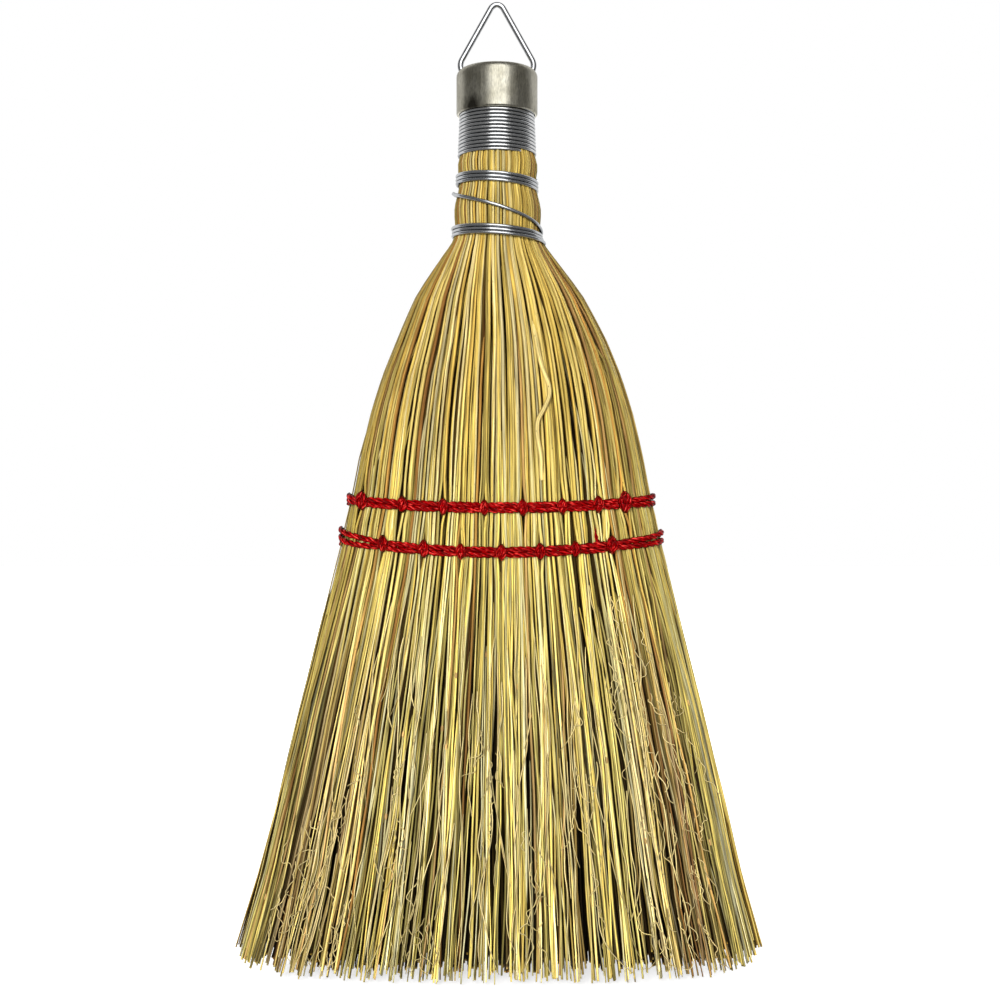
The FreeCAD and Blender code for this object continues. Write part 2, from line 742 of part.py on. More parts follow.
def tuft(label, sections, stitches):
    body = Part.makeLoft(sections, True, True)
    if body.Volume < 0:
        body.reverse()
    cutters = [slot_prism(stitch) for stitch in stitches]
    if cutters:
        body = body.cut(cutters)
    solids = body.Solids
    if len(solids) != 1:
        raise ValueError("%s is %d solids" % (label, len(solids)))
    add_feature(label, solids[0])


def stitches_between(first, last):
    found = []
    for stitch in UPPER_STITCHES + LOWER_STITCHES:
        low = stitch.half_width * first - stitch_room
        high = stitch.half_width * last + stitch_room
        if low <= stitch.x <= high:
            found.append(stitch)
    return found


make_cap()
make_ring()
collar = wind("collar_wire", collar_point, COLLAR_TURNS, size("wire_diameter"), even)
add_feature("collar_wire", collar)
neck = wind("neck_wire", neck_point, 2 * BAND_TURNS + 1, size("wire_diameter"), even)
add_feature("neck_wire", neck)
make_twine("upper_twine_band", upper_height, size("upper_half_width"), size("upper_rise"))
make_twine("lower_twine_band", lower_height, size("lower_half_width"), size("lower_rise"))
add_feature("upper_stitches", Part.makeCompound([stitch_loop(place) for place in UPPER_STITCHES]))
add_feature("lower_stitches", Part.makeCompound([stitch_loop(place) for place in LOWER_STITCHES]))
for number in range(1, COLUMNS - 1):
    left = column_share(number)
    right = column_share(number + 1)
    near = stitches_between(left, right)
    front = [outer_section(station, left, right, -1) for station in STATIONS]
    tuft("front_tuft_%02d" % number, front, near)
    back = [outer_section(station, left, right, 1) for station in STATIONS]
    tuft("back_tuft_%02d" % number, back, near)
for number in range(1, COLUMNS // 2):
    left = column_share(2 * number - 1)
    right = column_share(2 * number + 1)
    layers = [inside_section(station, left, right) for station in STATIONS]
    tuft("inside_tuft_%d" % number, layers, stitches_between(left, right))
outermost = column_share(COLUMNS - 1)
for label, side in (("left_edge_tuft", -1), ("right_edge_tuft", 1)):
    ends = (outermost, 1.0) if side > 0 else (-1.0, -outermost)
    layers = [edge_section(station, outermost, side) for station in STATIONS]
    tuft(label, layers, stitches_between(*ends))

# Checks before anything is written
doc.recompute()
for item in doc.Objects:
    if "Invalid" in item.State or "Error" in item.State:
        raise ValueError("%s is %s" % (item.Label, item.State))
for node in nodes:
    if node.Shape.isNull() or not node.Shape.isValid():
        raise ValueError("%s has a bad shape" % node.Label)

os.makedirs("parts", exist_ok=True)
for node in nodes:
    node.Shape.exportStep("parts/%s.step" % node.Label)
print(len(nodes), "sub-parts written")
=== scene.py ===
import math
from collections import namedtuple

import bpy
import numpy as np
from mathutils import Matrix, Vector


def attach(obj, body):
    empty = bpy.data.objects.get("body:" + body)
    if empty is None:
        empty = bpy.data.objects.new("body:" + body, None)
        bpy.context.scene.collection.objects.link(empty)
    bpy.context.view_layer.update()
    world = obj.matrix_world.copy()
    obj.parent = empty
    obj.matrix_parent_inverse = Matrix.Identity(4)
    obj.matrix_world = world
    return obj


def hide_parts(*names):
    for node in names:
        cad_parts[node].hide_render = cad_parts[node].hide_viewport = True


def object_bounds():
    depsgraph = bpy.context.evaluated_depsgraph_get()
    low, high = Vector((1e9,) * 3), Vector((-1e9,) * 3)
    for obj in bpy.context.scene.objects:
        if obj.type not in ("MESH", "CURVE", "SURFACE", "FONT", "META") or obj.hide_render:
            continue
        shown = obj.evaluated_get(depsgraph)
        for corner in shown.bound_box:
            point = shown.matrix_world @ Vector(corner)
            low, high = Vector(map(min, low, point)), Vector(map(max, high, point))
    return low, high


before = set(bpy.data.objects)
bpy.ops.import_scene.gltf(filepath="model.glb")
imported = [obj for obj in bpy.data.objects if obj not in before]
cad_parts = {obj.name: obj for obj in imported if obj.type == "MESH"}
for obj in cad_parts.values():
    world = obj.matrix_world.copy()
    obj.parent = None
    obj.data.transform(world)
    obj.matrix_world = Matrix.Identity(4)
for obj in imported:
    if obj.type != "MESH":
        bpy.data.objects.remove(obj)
cad_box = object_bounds()

# Looks of a whisk broom. Lengths are in millimetres, as in the part's source, and meshes in metres.
MM = 0.001
random = np.random.default_rng(11)

# Heights along the broom, tips at zero
LOW_BAND = 244.0
HIGH_BAND = 261.5
COLLAR_FOOT = 269.5
STRAW_TOP = 291.0

# How much higher the tips are at the fan's edges, outside the flat share of its width
TIP_RISE = 6.5
FLAT_TIPS = 0.625
TIP_JITTER = 1.2

# Outline of the straw: height, half width, half depth
OUTLINE = np.array((
    (0.0, 88.4, 19.0), (30.0, 79.8, 17.8), (56.0, 73.7, 16.6),
    (83.0, 67.2, 15.4), (124.0, 56.4, 13.2), (139.0, 52.6, 12.0),
    (146.0, 51.6, 12.8), (153.5, 49.8, 12.0), (169.0, 47.0, 13.4),
    (183.0, 43.8, 14.4), (196.0, 39.8, 15.0), (209.0, 34.6, 15.3),
    (223.0, 28.0, 15.2), (236.0, 19.0, 14.6), (241.0, 15.2, 14.4),
    (244.0, 13.9, 13.9), (252.5, 14.7, 14.7), (259.0, 12.8, 12.8),
    (263.0, 12.6, 12.6), (266.8, 13.9, 13.9), (270.0, 12.2, 12.2),
    (292.0, 11.2, 11.2),
))
END_ROUND = 0.6
LEAST_WIDE, LEAST_DEEP = 1.0, 0.6

# Lobes of the fan's round edges: where they start across, their number, and depth of the valleys
EDGE_START = 0.81
EDGE_LOBES = 3
VALLEY_SHARE = 0.09

# How far the fan's middle stands to the right of the handle
LEAN_HEIGHTS = (0.0, 30.0, 56.0, 130.0, 209.0, 236.0)
LEANS = (0.3, 0.8, 1.2, 1.4, 1.3, 0.0)

# Rows of the sewing: height and rise to the fan's edges; stitches as share of the half width and bulk;
# and where the two strands part at the edges, as place across, half width and extra gap
Row = namedtuple("Row", "word height rise stitches partings")
UPPER = Row("upper", 153.5, 2.7, (
    (-0.93, 1.15), (-0.65, 1.0), (-0.38, 1.0), (-0.11, 0.95),
    (0.14, 1.0), (0.40, 0.95), (0.64, 1.0), (0.82, 1.3),
), ((-1.0, 0.1, 0.4), (1.0, 0.12, 0.3)))
LOWER = Row("lower", 139.0, 5.0, (
    (-0.74, 1.0), (-0.48, 1.05), (-0.25, 0.95), (0.0, 1.0), (0.24, 1.0), (0.46, 0.95), (0.69, 1.1),
), ((-1.0, 0.2, 1.5), (1.0, 0.16, 0.5)))

# Columns of straw as in the part's source, and the height that they are told apart at
COLUMNS = 16
COLUMN_HEIGHT = 70.0

# Straw is loose below this height, and fully so after this length
LOOSE_TOP = 170.0
LOOSE_LENGTH = 110.0


def blend(low, high, share):
    return low + (high - low) * share


def shares(count):
    return np.linspace(0.0, 1.0, count)


def ease(share):
    share = np.clip(share, 0.0, 1.0)
    return share * share * (3.0 - 2.0 * share)


def linear(*srgb):
    """Colour given as 0 to 255, for a shader."""
    share = np.array(srgb, float) / 255.0
    return np.where(share <= 0.04045, share / 12.92, ((share + 0.055) / 1.055) ** 2.4)


def line(*axes):
    """Points from their coordinates."""
    return np.stack(axes, axis=-1)


def read_off(places, known, rows):
    """Rows of numbers at other places than the known ones."""
    return line(*(np.interp(places, known, values) for values in rows.T))


def unit(vectors):
    return vectors / np.maximum(np.linalg.norm(vectors, axis=-1, keepdims=True), 1e-9)


# Outline of the fan, with its corners rounded off
FINE_STEP = 0.5
ROUNDING = 1.8
FINE_HEIGHTS = np.arange(-20.0, 300.0, FINE_STEP)


def rounded(values):
    fine = np.interp(FINE_HEIGHTS, OUTLINE[:, 0], values)
    reach = np.arange(-4 * ROUNDING, 4 * ROUNDING + FINE_STEP, FINE_STEP)
    weights = np.exp(-0.5 * (reach / ROUNDING) ** 2)
    padded = np.pad(fine, len(reach) // 2, mode="edge")
    return np.convolve(padded, weights / weights.sum(), mode="valid")[:len(fine)]


WIDTHS = rounded(OUTLINE[:, 1])
DEPTHS = rounded(OUTLINE[:, 2])


def half_width(height):
    return np.interp(height, FINE_HEIGHTS, WIDTHS)


def half_depth(height):
    return np.interp(height, FINE_HEIGHTS, DEPTHS)


def low_share(height):
    """Zero above the sewing, growing to one in the loose straw near the tips."""
    return ease((LOOSE_TOP - height) / LOOSE_LENGTH)


def lean(height):
    return np.interp(height, LEAN_HEIGHTS, LEANS)


def row_rise(height):
    """How much higher a level line is at the fan's edges."""
    return np.interp(height, (0.0, LOWER.height, UPPER.height, LOW_BAND), (0.0, LOWER.rise, UPPER.rise, 0.0))


def oval_arcs(wide, deep):
    """Radii of an oval's ends and flanks, the turn where they meet, and the way from middle to tip."""
    end = END_ROUND * deep
    flank = ((wide - end) ** 2 + deep ** 2 - end ** 2) / (2.0 * (deep - end))
    bend = np.arcsin(np.clip((wide - end) / (flank - end), 0.0, 1.0))
    return end, flank, bend, flank * bend + end * (math.pi / 2 - bend)


def on_fan(across, side, height, inset):
    """Place on the fan's oval: across from -1 to 1 along its edge, side -1 for the front."""
    level = height - row_rise(height) * across ** 2
    wide = np.maximum(half_width(level) - inset, LEAST_WIDE)
    deep = np.maximum(half_depth(level) - inset, LEAST_DEEP)
    end, flank, bend, way = oval_arcs(wide, deep)
    run = np.abs(across) * way - flank * bend
    on_end = run > 0.0
    turn = bend + run / np.where(on_end, end, flank)
    x = np.where(on_end, wide - end + end * np.sin(turn), flank * np.sin(turn))
    y = np.where(on_end, end * np.cos(turn), deep - flank + flank * np.cos(turn))
    return np.sign(across) * x + lean(height), side * y


def lobe_valley(across, height):
    """How far the straw drops between the lobes of the fan's round edges."""
    run = np.maximum(np.abs(across) - EDGE_START, 0.0) / (1.0 - EDGE_START) * EDGE_LOBES / 2
    drop = (2.0 * (run % 1.0) - 1.0) ** 2
    return np.where(run > 0.0, VALLEY_SHARE * half_depth(height) * drop, 0.0)


def way_round(height):
    """Way along the oval's edge from the middle of a face to the side."""
    return oval_arcs(half_width(height), half_depth(height))[3]


def across_at(share, height):
    """Place along the oval's edge that is a share of the half width to the side."""
    return share * half_width(height) / way_round(height)


# Tubes: paths, radii and colours hold one row per tube
Tubes = namedtuple("Tubes", "paths radii tints flatness sides")


def pick(tubes, chosen):
    return Tubes(*(values[chosen] for values in tubes[:-1]), tubes.sides)


def run_along(paths):
    """Way along each path to its points."""
    steps = np.linalg.norm(np.diff(paths, axis=-2), axis=-1)
    return np.insert(np.cumsum(steps, axis=-1), 0, 0.0, axis=-1)


# A direction lies mostly along the depth from this share on
MOSTLY = 0.8


def across_ways(paths):
    """Two directions across each tube that turn as little as they can along it."""
    along = unit(np.gradient(paths, axis=1))
    way = np.where(np.abs(along[:, 0, 1:2]) < MOSTLY, (0.0, 1.0, 0.0), (1.0, 0.0, 0.0))
    first = np.empty_like(paths)
    for ring in range(paths.shape[1]):
        tangent = along[:, ring]
        way = unit(way - tangent * np.sum(way * tangent, axis=1, keepdims=True))
        first[:, ring] = way
    return first, np.cross(along, first)


# Scale of the grain on a tube, and range of the places that it starts at
GRAIN_ACROSS, GRAIN_ALONG = 1.5, 0.035
GRAIN_RANGE = 400.0

# Painted shade and highlight of a tube's wall by how far it faces away from the fan's middle, deeper in the
# loose straw
FACINGS = (-0.2, 0.3, 0.68, 1.0)
PAINTED_FACING_SHADES = (0.22, 0.48, 0.96, 1.1)
LOW_PAINTED_SHADE_POWER = 1.7


def unit_circle(sides):
    turn = math.tau * np.arange(sides) / sides
    return line(np.cos(turn), np.sin(turn))


def outward(paths):
    """Direction away from the fan's middle at each place, as on an ellipse."""
    x, y, z = np.moveaxis(paths, -1, 0)
    x = x - lean(z)
    return unit(line(x / half_width(z) ** 2, y / half_depth(z) ** 2, np.zeros_like(x)))


def tube_points(tubes, depth):
    """Vertices, colours with painted shade on their sides, and grain coordinates of all the tubes, ring by
    ring.
    """
    count, rings = tubes.radii.shape
    first, second = across_ways(tubes.paths)
    circle = unit_circle(tubes.sides)
    radii = tubes.radii[:, :, None, None]
    flat = tubes.flatness[:, None, None, None]
    out = circle[:, :1] * first[:, :, None] + circle[:, 1:] * second[:, :, None] * flat
    places = tubes.paths[:, :, None] + radii * out
    seeds = random.uniform(0.0, GRAIN_RANGE, (count, 1, 1, 3))
    grain = np.empty((count, rings, tubes.sides, 3))
    grain[..., :2] = circle * radii * GRAIN_ACROSS
    grain[..., 2] = run_along(tubes.paths)[:, :, None] * GRAIN_ALONG
    # Painted shade: each wall darkens as it faces away from the fan's outward direction, and brightens
    # facing out
    facing = np.sum(unit(out) * outward(tubes.paths)[:, :, None], axis=-1)
    deeper = blend(1.0, LOW_PAINTED_SHADE_POWER, low_share(tubes.paths[:, :, None, 2:]))
    shade = np.interp(facing, FACINGS, PAINTED_FACING_SHADES)[..., None] ** (depth * deeper)
    tints = tubes.tints[:, :, None] * shade
    return places.reshape(-1, 3), tints.reshape(-1, 3), (grain + seeds).reshape(-1, 3)


def wall_corners(rings, sides):
    """Ring and side of the four corners of each face of a wall."""
    ring = np.arange(rings - 1)[:, None, None] + np.array((0, 0, 1, 1))
    side = np.arange(sides)[:, None] + np.array((0, 1, 1, 0))
    return np.broadcast_arrays(ring, side)


def tube_walls(count, rings, sides):
    ring, side = wall_corners(rings, sides)
    corners = (ring * sides + side % sides).reshape(-1, 4)
    starts = np.arange(count) * rings * sides
    return (starts[:, None, None] + corners).reshape(-1, 4)


def tube_ends(count, rings, sides):
    starts = np.arange(count)[:, None] * rings * sides
    head = starts + np.arange(sides)[::-1]
    foot = starts + (rings - 1) * sides + np.arange(sides)
    return np.concatenate((head, foot))


# Each tube has its own strip of the map that finishes are stored in
STRIP_ROWS = 4
STRIP_MARGIN = 0.1


def strip_cells(first, count, total):
    rows = STRIP_ROWS if total > 2 * STRIP_ROWS else 1
    columns = math.ceil(total / rows)
    index = np.arange(first, first + count)
    cell = np.array((1.0 / columns, 1.0 / rows))
    return line(index % columns, index // columns) * cell, cell


def wall_map(corner, cell, rings, sides):
    ring, side = wall_corners(rings, sides)
    inner = line(side / sides, ring / (rings - 1)).reshape(-1, 2)
    inner = STRIP_MARGIN + (1.0 - 2 * STRIP_MARGIN) * inner
    return (corner[:, None] + cell * inner).reshape(-1, 2)


def end_map(corner, cell, sides):
    circle = unit_circle(sides) * STRIP_MARGIN / 3
    middles = np.array(((0.5, STRIP_MARGIN / 2), (0.5, 1.0 - STRIP_MARGIN / 2)))
    return np.concatenate([corner[:, None] + cell * (middle + circle) for middle in middles]).reshape(-1, 2)


def tube_object(name, bundles, material, depth):
    """One mesh of all the tubes in the bundles; depth is the power of the painted shade on their sides."""
    total = sum(len(tubes.paths) for tubes in bundles)
    points, faces = [], []
    base = 0
    first = 0
    for tubes in bundles:
        count, rings = tubes.radii.shape
        sides = tubes.sides
        points.append(tube_points(tubes, depth))
        corner, cell = strip_cells(first, count, total)
        walls = tube_walls(count, rings, sides)
        ends = tube_ends(count, rings, sides)
        for corners, smooth, maps in (
            (walls, True, wall_map(corner, cell, rings, sides)), (ends, False, end_map(corner, cell, sides)),
        ):
            number, size = corners.shape
            faces.append((corners.ravel() + base, np.full(number, size), np.full(number, smooth), maps))
        base += count * rings * sides
        first += count
    places, tints, grains = (np.concatenate(parts) for parts in zip(*points))
    loops, sizes, smooth, maps = (np.concatenate(parts) for parts in zip(*faces))
    return mesh_object(name, material, places * MM, loops, sizes, smooth, maps, tints, grains)


def fill(items, name, values):
    items.foreach_set(name, values.astype(np.float32).ravel())


def mesh_object(name, material, places, loops, sizes, smooth, maps, tints, grains):
    mesh = bpy.data.meshes.new(name)
    mesh.vertices.add(len(places))
    fill(mesh.vertices, "co", places)
    mesh.loops.add(len(loops))
    mesh.loops.foreach_set("vertex_index", loops.astype(np.int32))
    mesh.polygons.add(len(sizes))
    starts = np.cumsum(sizes) - sizes
    mesh.polygons.foreach_set("loop_start", starts.astype(np.int32))
    mesh.polygons.foreach_set("use_smooth", smooth)
    mesh.update(calc_edges=True)
    fill(mesh.uv_layers.new(name="OFBake").data, "uv", maps)
    # The tint attribute carries each tube's colour with its painted shade and highlight
    opaque = np.column_stack((tints, np.ones(len(tints))))
    fill(mesh.attributes.new("tint", "FLOAT_COLOR", "POINT").data, "color", opaque)
    fill(mesh.attributes.new("grain", "FLOAT_VECTOR", "POINT").data, "vector", grains)
    mesh.materials.append(material)
    return add_object(name, mesh)


def add_object(name, data):
    thing = bpy.data.objects.new(name, data)
    bpy.context.scene.collection.objects.link(thing)
    return thing


def dress(piece, body, slot, *nodes):
    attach(piece, body)
    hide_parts(*nodes)


# Dark blotch low on the cap's left: its place in millimetres, then its core, reach and rag in metres
BLOTCH_PLACE = (-8.6, -10.5, 284.5)
BLOTCH_CORE, BLOTCH_REACH, BLOTCH_RAG = 0.0014, 0.0044, 0.0022
BLOTCH_STRENGTH = 0.9

# Most of a noise lies between these two values
NOISE_LOW, NOISE_HIGH = 0.3, 0.7


def new_material(name):
    material = bpy.data.materials.new(name)
    material.use_nodes = True
    return material, material.node_tree.nodes["Principled BSDF"]


def feed(node, values):
    """Links or sets a node's inputs, given by name or number."""
    for name, value in values.items():
        if isinstance(value, bpy.types.NodeSocket):
            node.id_data.links.new(value, node.inputs[name])
        else:
            node.inputs[name].default_value = value


def new_node(near, kind, values, **settings):
    """Node in the same tree as another node or socket."""
    node = near.id_data.nodes.new("ShaderNode" + kind)
    for name, setting in settings.items():
        setattr(node, name, setting)
    feed(node, values)
    return node


def paint(*srgb):
    return (*linear(*srgb), 1.0)


def attribute(near, name, output):
    return new_node(near, "Attribute", {}, attribute_name=name).outputs[output]


def object_place(near):
    return new_node(near, "TexCoord", {}).outputs["Object"]


def noise(vector, scales, detail):
    """Noise over a vector that is first scaled along each axis."""
    scaled = new_node(vector, "Mapping", {"Vector": vector, "Scale": scales}).outputs["Vector"]
    return new_node(vector, "TexNoise", {"Vector": scaled, "Scale": 1.0, "Detail": detail}).outputs["Fac"]


def remap(value, start, end, low, high):
    ranges = {"From Min": start, "From Max": end, "To Min": low, "To Max": high}
    return new_node(value, "MapRange", {"Value": value, **ranges}).outputs["Result"]


def spread(value, low, high):
    return remap(value, NOISE_LOW, NOISE_HIGH, low, high)


def calculate(operation, first, second):
    return new_node(first, "Math", {0: first, 1: second}, operation=operation).outputs[0]


def mix_colours(near, kind, share, first, second):
    colours = {0: share, 6: first, 7: second}
    return new_node(near, "Mix", colours, data_type="RGBA", blend_type=kind).outputs[2]


def mixed(share, first, second):
    return mix_colours(share, "MIX", share, first, second)


def multiplied(first, second):
    return mix_colours(first, "MULTIPLY", 1.0, first, second)


def dimmed(colour, share):
    grey = new_node(share, "CombineColor", {"Red": share, "Green": share, "Blue": share})
    return multiplied(colour, grey.outputs["Color"])


def bump(height, strength, distance):
    values = {"Height": height, "Strength": strength, "Distance": distance}
    return new_node(height, "Bump", values).outputs["Normal"]


def straw_material():
    material, shader = new_material("straw")
    grain = attribute(shader, "grain", "Vector")
    streaks = noise(grain, (2.2, 2.2, 2.2), 3.0)
    blotches = noise(grain, (0.2, 0.2, 2.5), 2.0)
    specks = noise(grain, (1.6, 1.6, 22.4), 1.0)
    colour = dimmed(attribute(shader, "tint", "Color"), spread(streaks, 0.42, 1.36))
    colour = dimmed(colour, spread(blotches, 0.82, 1.12))
    feed(shader, {
        "Base Color": mixed(remap(specks, 0.73, 0.78, 0.0, 0.75), colour, paint(74, 48, 20)),
        "Roughness": spread(streaks, 0.68, 0.48),
        "Specular IOR Level": 0.25,
        "Normal": bump(streaks, 0.35, 0.0003),
    })
    return material


def twine_material():
    material, shader = new_material("twine")
    grain = attribute(shader, "grain", "Vector")
    fibres = noise(grain, (5.0, 5.0, 6.0), 3.0)
    glints = noise(grain, (1.4, 1.4, 16.0), 1.0)
    colour = dimmed(attribute(shader, "tint", "Color"), spread(fibres, 0.5, 1.3))
    # Painted glints: the glint noise darkens and lightens the colour, and mixes pale red in at its peaks
    colour = dimmed(colour, remap(glints, 0.35, 0.6, 0.3, 1.2))
    feed(shader, {
        "Base Color": mixed(remap(glints, 0.6, 0.72, 0.0, 0.9), colour, paint(236, 70, 62)),
        "Roughness": 0.2,
        "Specular IOR Level": 0.1,
        "Normal": bump(fibres, 0.5, 0.0002),
    })
    return material


def wire_material():
    material, shader = new_material("binding_wire")
    grain = attribute(shader, "grain", "Vector")
    drawn = noise(grain, (4.0, 4.0, 2.0), 2.0)
    patches = remap(noise(grain, (0.3, 0.3, 3.0), 2.0), 0.35, 0.65, 0.0, 1.0)
    metal = mixed(patches, paint(214, 217, 220), paint(232, 234, 236))
    feed(shader, {
        # The tint attribute carries painted shade on the wire's sides, dark lines between the turns, and a
        # painted highlight facing out
        "Base Color": multiplied(metal, attribute(shader, "tint", "Color")),
        "Roughness": spread(drawn, 0.17, 0.3),
        "Metallic": 1.0,
        "Normal": bump(drawn, 0.15, 0.0001),
    })
    return material


def blotch(coordinates, place, ragged):
    """Strong at a place on the metal and zero farther off, with a ragged edge."""
    distance = new_node(coordinates, "VectorMath", {0: coordinates, 1: place}, operation="DISTANCE")
    far = calculate("ADD", distance.outputs["Value"], spread(ragged, -BLOTCH_RAG, BLOTCH_RAG))
    return remap(far, BLOTCH_CORE, BLOTCH_REACH, BLOTCH_STRENGTH, 0.0)


def cap_material(blotch_place):
    material, shader = new_material("cap_metal")
    coordinates = object_place(shader)
    brushed = noise(coordinates, (900.0, 900.0, 60.0), 3.0)
    grain = noise(coordinates, (2600.0, 2600.0, 700.0), 2.0)
    dents = noise(coordinates, (160.0, 160.0, 90.0), 1.0)
    stains = noise(coordinates, (230.0, 230.0, 150.0), 4.0)
    metal = mixed(remap(stains, 0.35, 0.7, 0.0, 1.0), paint(228, 224, 207), paint(190, 185, 165))
    metal = dimmed(metal, spread(grain, 0.72, 1.1))
    feed(shader, {
        "Base Color": mixed(blotch(coordinates, blotch_place, stains), metal, paint(58, 54, 44)),
        "Roughness": spread(brushed, 0.3, 0.44),
        "Metallic": 1.0,
        "Normal": bump(dents, 0.12, 0.002),
    })
    return material


def ring_material():
    material, shader = new_material("ring_wire")
    drawn = noise(object_place(shader), (700.0, 700.0, 200.0), 2.0)
    feed(shader, {
        "Base Color": mixed(spread(drawn, 0.0, 1.0), paint(214, 216, 218), paint(240, 242, 244)),
        "Roughness": spread(drawn, 0.1, 0.2),
        "Metallic": 1.0,
    })
    return material


# Straw colours, ordered so that one random number gives kindred colours above and below the sewing
STRAW_COLOURS = np.array([linear(*srgb) for srgb in (
    (246, 230, 160), (238, 216, 126), (228, 202, 104), (216, 185, 90), (204, 186, 102),
    (212, 202, 150), (172, 154, 80), (200, 162, 96), (202, 154, 74), (146, 104, 48),
)])
UPPER_SHARES = np.cumsum((0.12, 0.22, 0.24, 0.16, 0.10, 0.05, 0.04, 0.03, 0.03, 0.01))
LOWER_SHARES = np.cumsum((0.14, 0.20, 0.20, 0.10, 0.12, 0.09, 0.08, 0.04, 0.01, 0.02))
BRIGHTS, LOW_BRIGHTS = (0.76, 1.1), (0.36, 1.45)
BRIGHT_SWAY = 0.1

# Colour of the straw by height
TINT_HEIGHTS = (60.0, 110.0, 150.0, 185.0, 234.0, 246.0)
TINTS = np.array((
    (1.13, 1.16, 1.24), (1.09, 1.1, 1.1), (1.0, 0.99, 0.92),
    (0.83, 0.77, 0.71), (0.75, 0.69, 0.64), (0.66, 0.6, 0.5),
))
# Powers of the painted shade on a straw's sides in red, green and blue, which turn the shaded sides brown
STRAW_PAINTED_SHADE_POWERS = np.array((0.8, 1.0, 1.2))

# Painted shade: the fan darkens towards its two edges from this place across, more on the left
EDGE_SHADE_START = 0.6
LEFT_EDGE_SHADE, RIGHT_EDGE_SHADE = 0.45, 0.25

# Tan straw low on the fan: place across, half width of the patch, and strength
TAN = linear(174, 126, 74)
TAN_PATCHES = (
    (-0.78, 0.05, 1.0), (-0.62, 0.05, 0.8), (0.30, 0.04, 0.5), (0.60, 0.05, 0.7), (0.74, 0.06, 1.0),
)
TAN_TOP, TAN_LENGTH = 150.0, 90.0
TAN_LEAST = 0.45


def tan_share(across, heights):
    share = np.zeros((len(across), 1))
    for middle, half, strength in TAN_PATCHES:
        share = np.maximum(share, strength * np.exp(-((across[:, None] - middle) / half) ** 2))
    return share * random.uniform(TAN_LEAST, 1.0, share.shape) * ease((TAN_TOP - heights) / TAN_LENGTH)


def straw_tints(across, heights, shade=1.0):
    """Colours along each straw, kindred above and below the sewing, with painted shade and a pale cut end.
    """
    count = len(across)
    chance = random.uniform(0.0, 1.0, count)
    upper = STRAW_COLOURS[np.searchsorted(UPPER_SHARES[:-1], chance)]
    lower = STRAW_COLOURS[np.searchsorted(LOWER_SHARES[:-1], chance)]
    low = low_share(heights)
    tints = blend(upper[:, None], lower[:, None], low[..., None])
    tints = blend(tints, TAN, tan_share(across, heights)[..., None])
    tints = tints * read_off(heights, TINT_HEIGHTS, TINTS)
    # Painted shade towards the fan's edges, deeper on the left
    to_edge = ease((np.abs(across) - EDGE_SHADE_START) / (1.0 - EDGE_SHADE_START))
    tints = tints * (1.0 - np.where(across < 0.0, LEFT_EDGE_SHADE, RIGHT_EDGE_SHADE) * to_edge)[:, None, None]
    bright = blend(column(*BRIGHTS, count), column(*LOW_BRIGHTS, count), low)
    bright = bright * (1.0 + BRIGHT_SWAY * waves(heights))
    tints = tints * (bright * shade)[..., None]
    tints[:, -1] = lower * bright[:, -1:]
    return tints


# Slow waves along each straw: their lengths and shares, and the room for them by height
WAVE_LENGTHS = (260.0, 110.0, 46.0)
WAVE_SHARES = (1.0, 0.3, 0.2)
WAVE_LEAST = 0.5
SWAY_HEIGHTS = (0.0, 60.0, 125.0, LOWER.height, 146.0, UPPER.height, 175.0, 215.0, LOW_BAND, STRAW_TOP)
SWAY_ROOMS = (1.2, 0.9, 0.35, 0.12, 0.15, 0.12, 0.35, 0.3, 0.15, 0.4)
SINK_SWAY = 0.3

# Clumps of straw: their spacing, pull and drift, the span of the fan, and the room for them by height
CLUMPS = ((9.1, 0.5, 0.004), (5.3, 0.3, -0.006), (15.7, 0.6, 0.002))
CLUMP_SPAN = 85.0
CLUMP_HEIGHTS = (0.0, 90.0, 126.0, LOWER.height, UPPER.height, 180.0, 225.0, LOW_BAND)
CLUMP_ROOMS = (1.0, 0.85, 0.3, 0.1, 0.1, 0.3, 0.2, 0.0)

# Straws slant at random below this height, and part at the stitches
SPLAY_TOP = 131.0
PART_REACH = 0.75
PART_WIDE, PART_TALL = 2.0, 4.5


def waves(heights):
    """Slow random sway along each straw, about one unit each way."""
    total = np.zeros_like(heights)
    for length, share in zip(WAVE_LENGTHS, WAVE_SHARES):
        phase = random.uniform(0.0, math.tau, (len(heights), 1))
        strength = share * random.uniform(WAVE_LEAST, 1.0, (len(heights), 1))
        total += strength * np.sin(math.tau * heights / length + phase)
    return total


def clump(place, side, heights):
    """Sideways pull that gathers straws into clumps with gaps between them."""
    pull = np.zeros_like(heights)
    for length, reach, drift in CLUMPS:
        turn = place * CLUMP_SPAN / length + drift * heights + length * side
        pull += reach * np.sin(math.tau * turn)
    return pull * np.interp(heights, CLUMP_HEIGHTS, CLUMP_ROOMS)


def splay(heights, slant):
    slants = random.normal(0.0, slant, (len(heights), 1))
    return slants * np.maximum(SPLAY_TOP - heights, 0.0)


def part_at_stitches(x, heights):
    """Sideways push that opens a dark gap above and below each stitch."""
    push = np.zeros_like(x)
    for row in (LOWER, UPPER):
        for share, bulk in row.stitches:
            beside = x - lean(heights) - share * half_width(heights)
            above = heights - row.height - row.rise * share ** 2
            near = np.exp(-(beside / PART_WIDE) ** 2 - (above / PART_TALL) ** 2)
            push += PART_REACH * bulk * np.sign(beside) * near
    return push


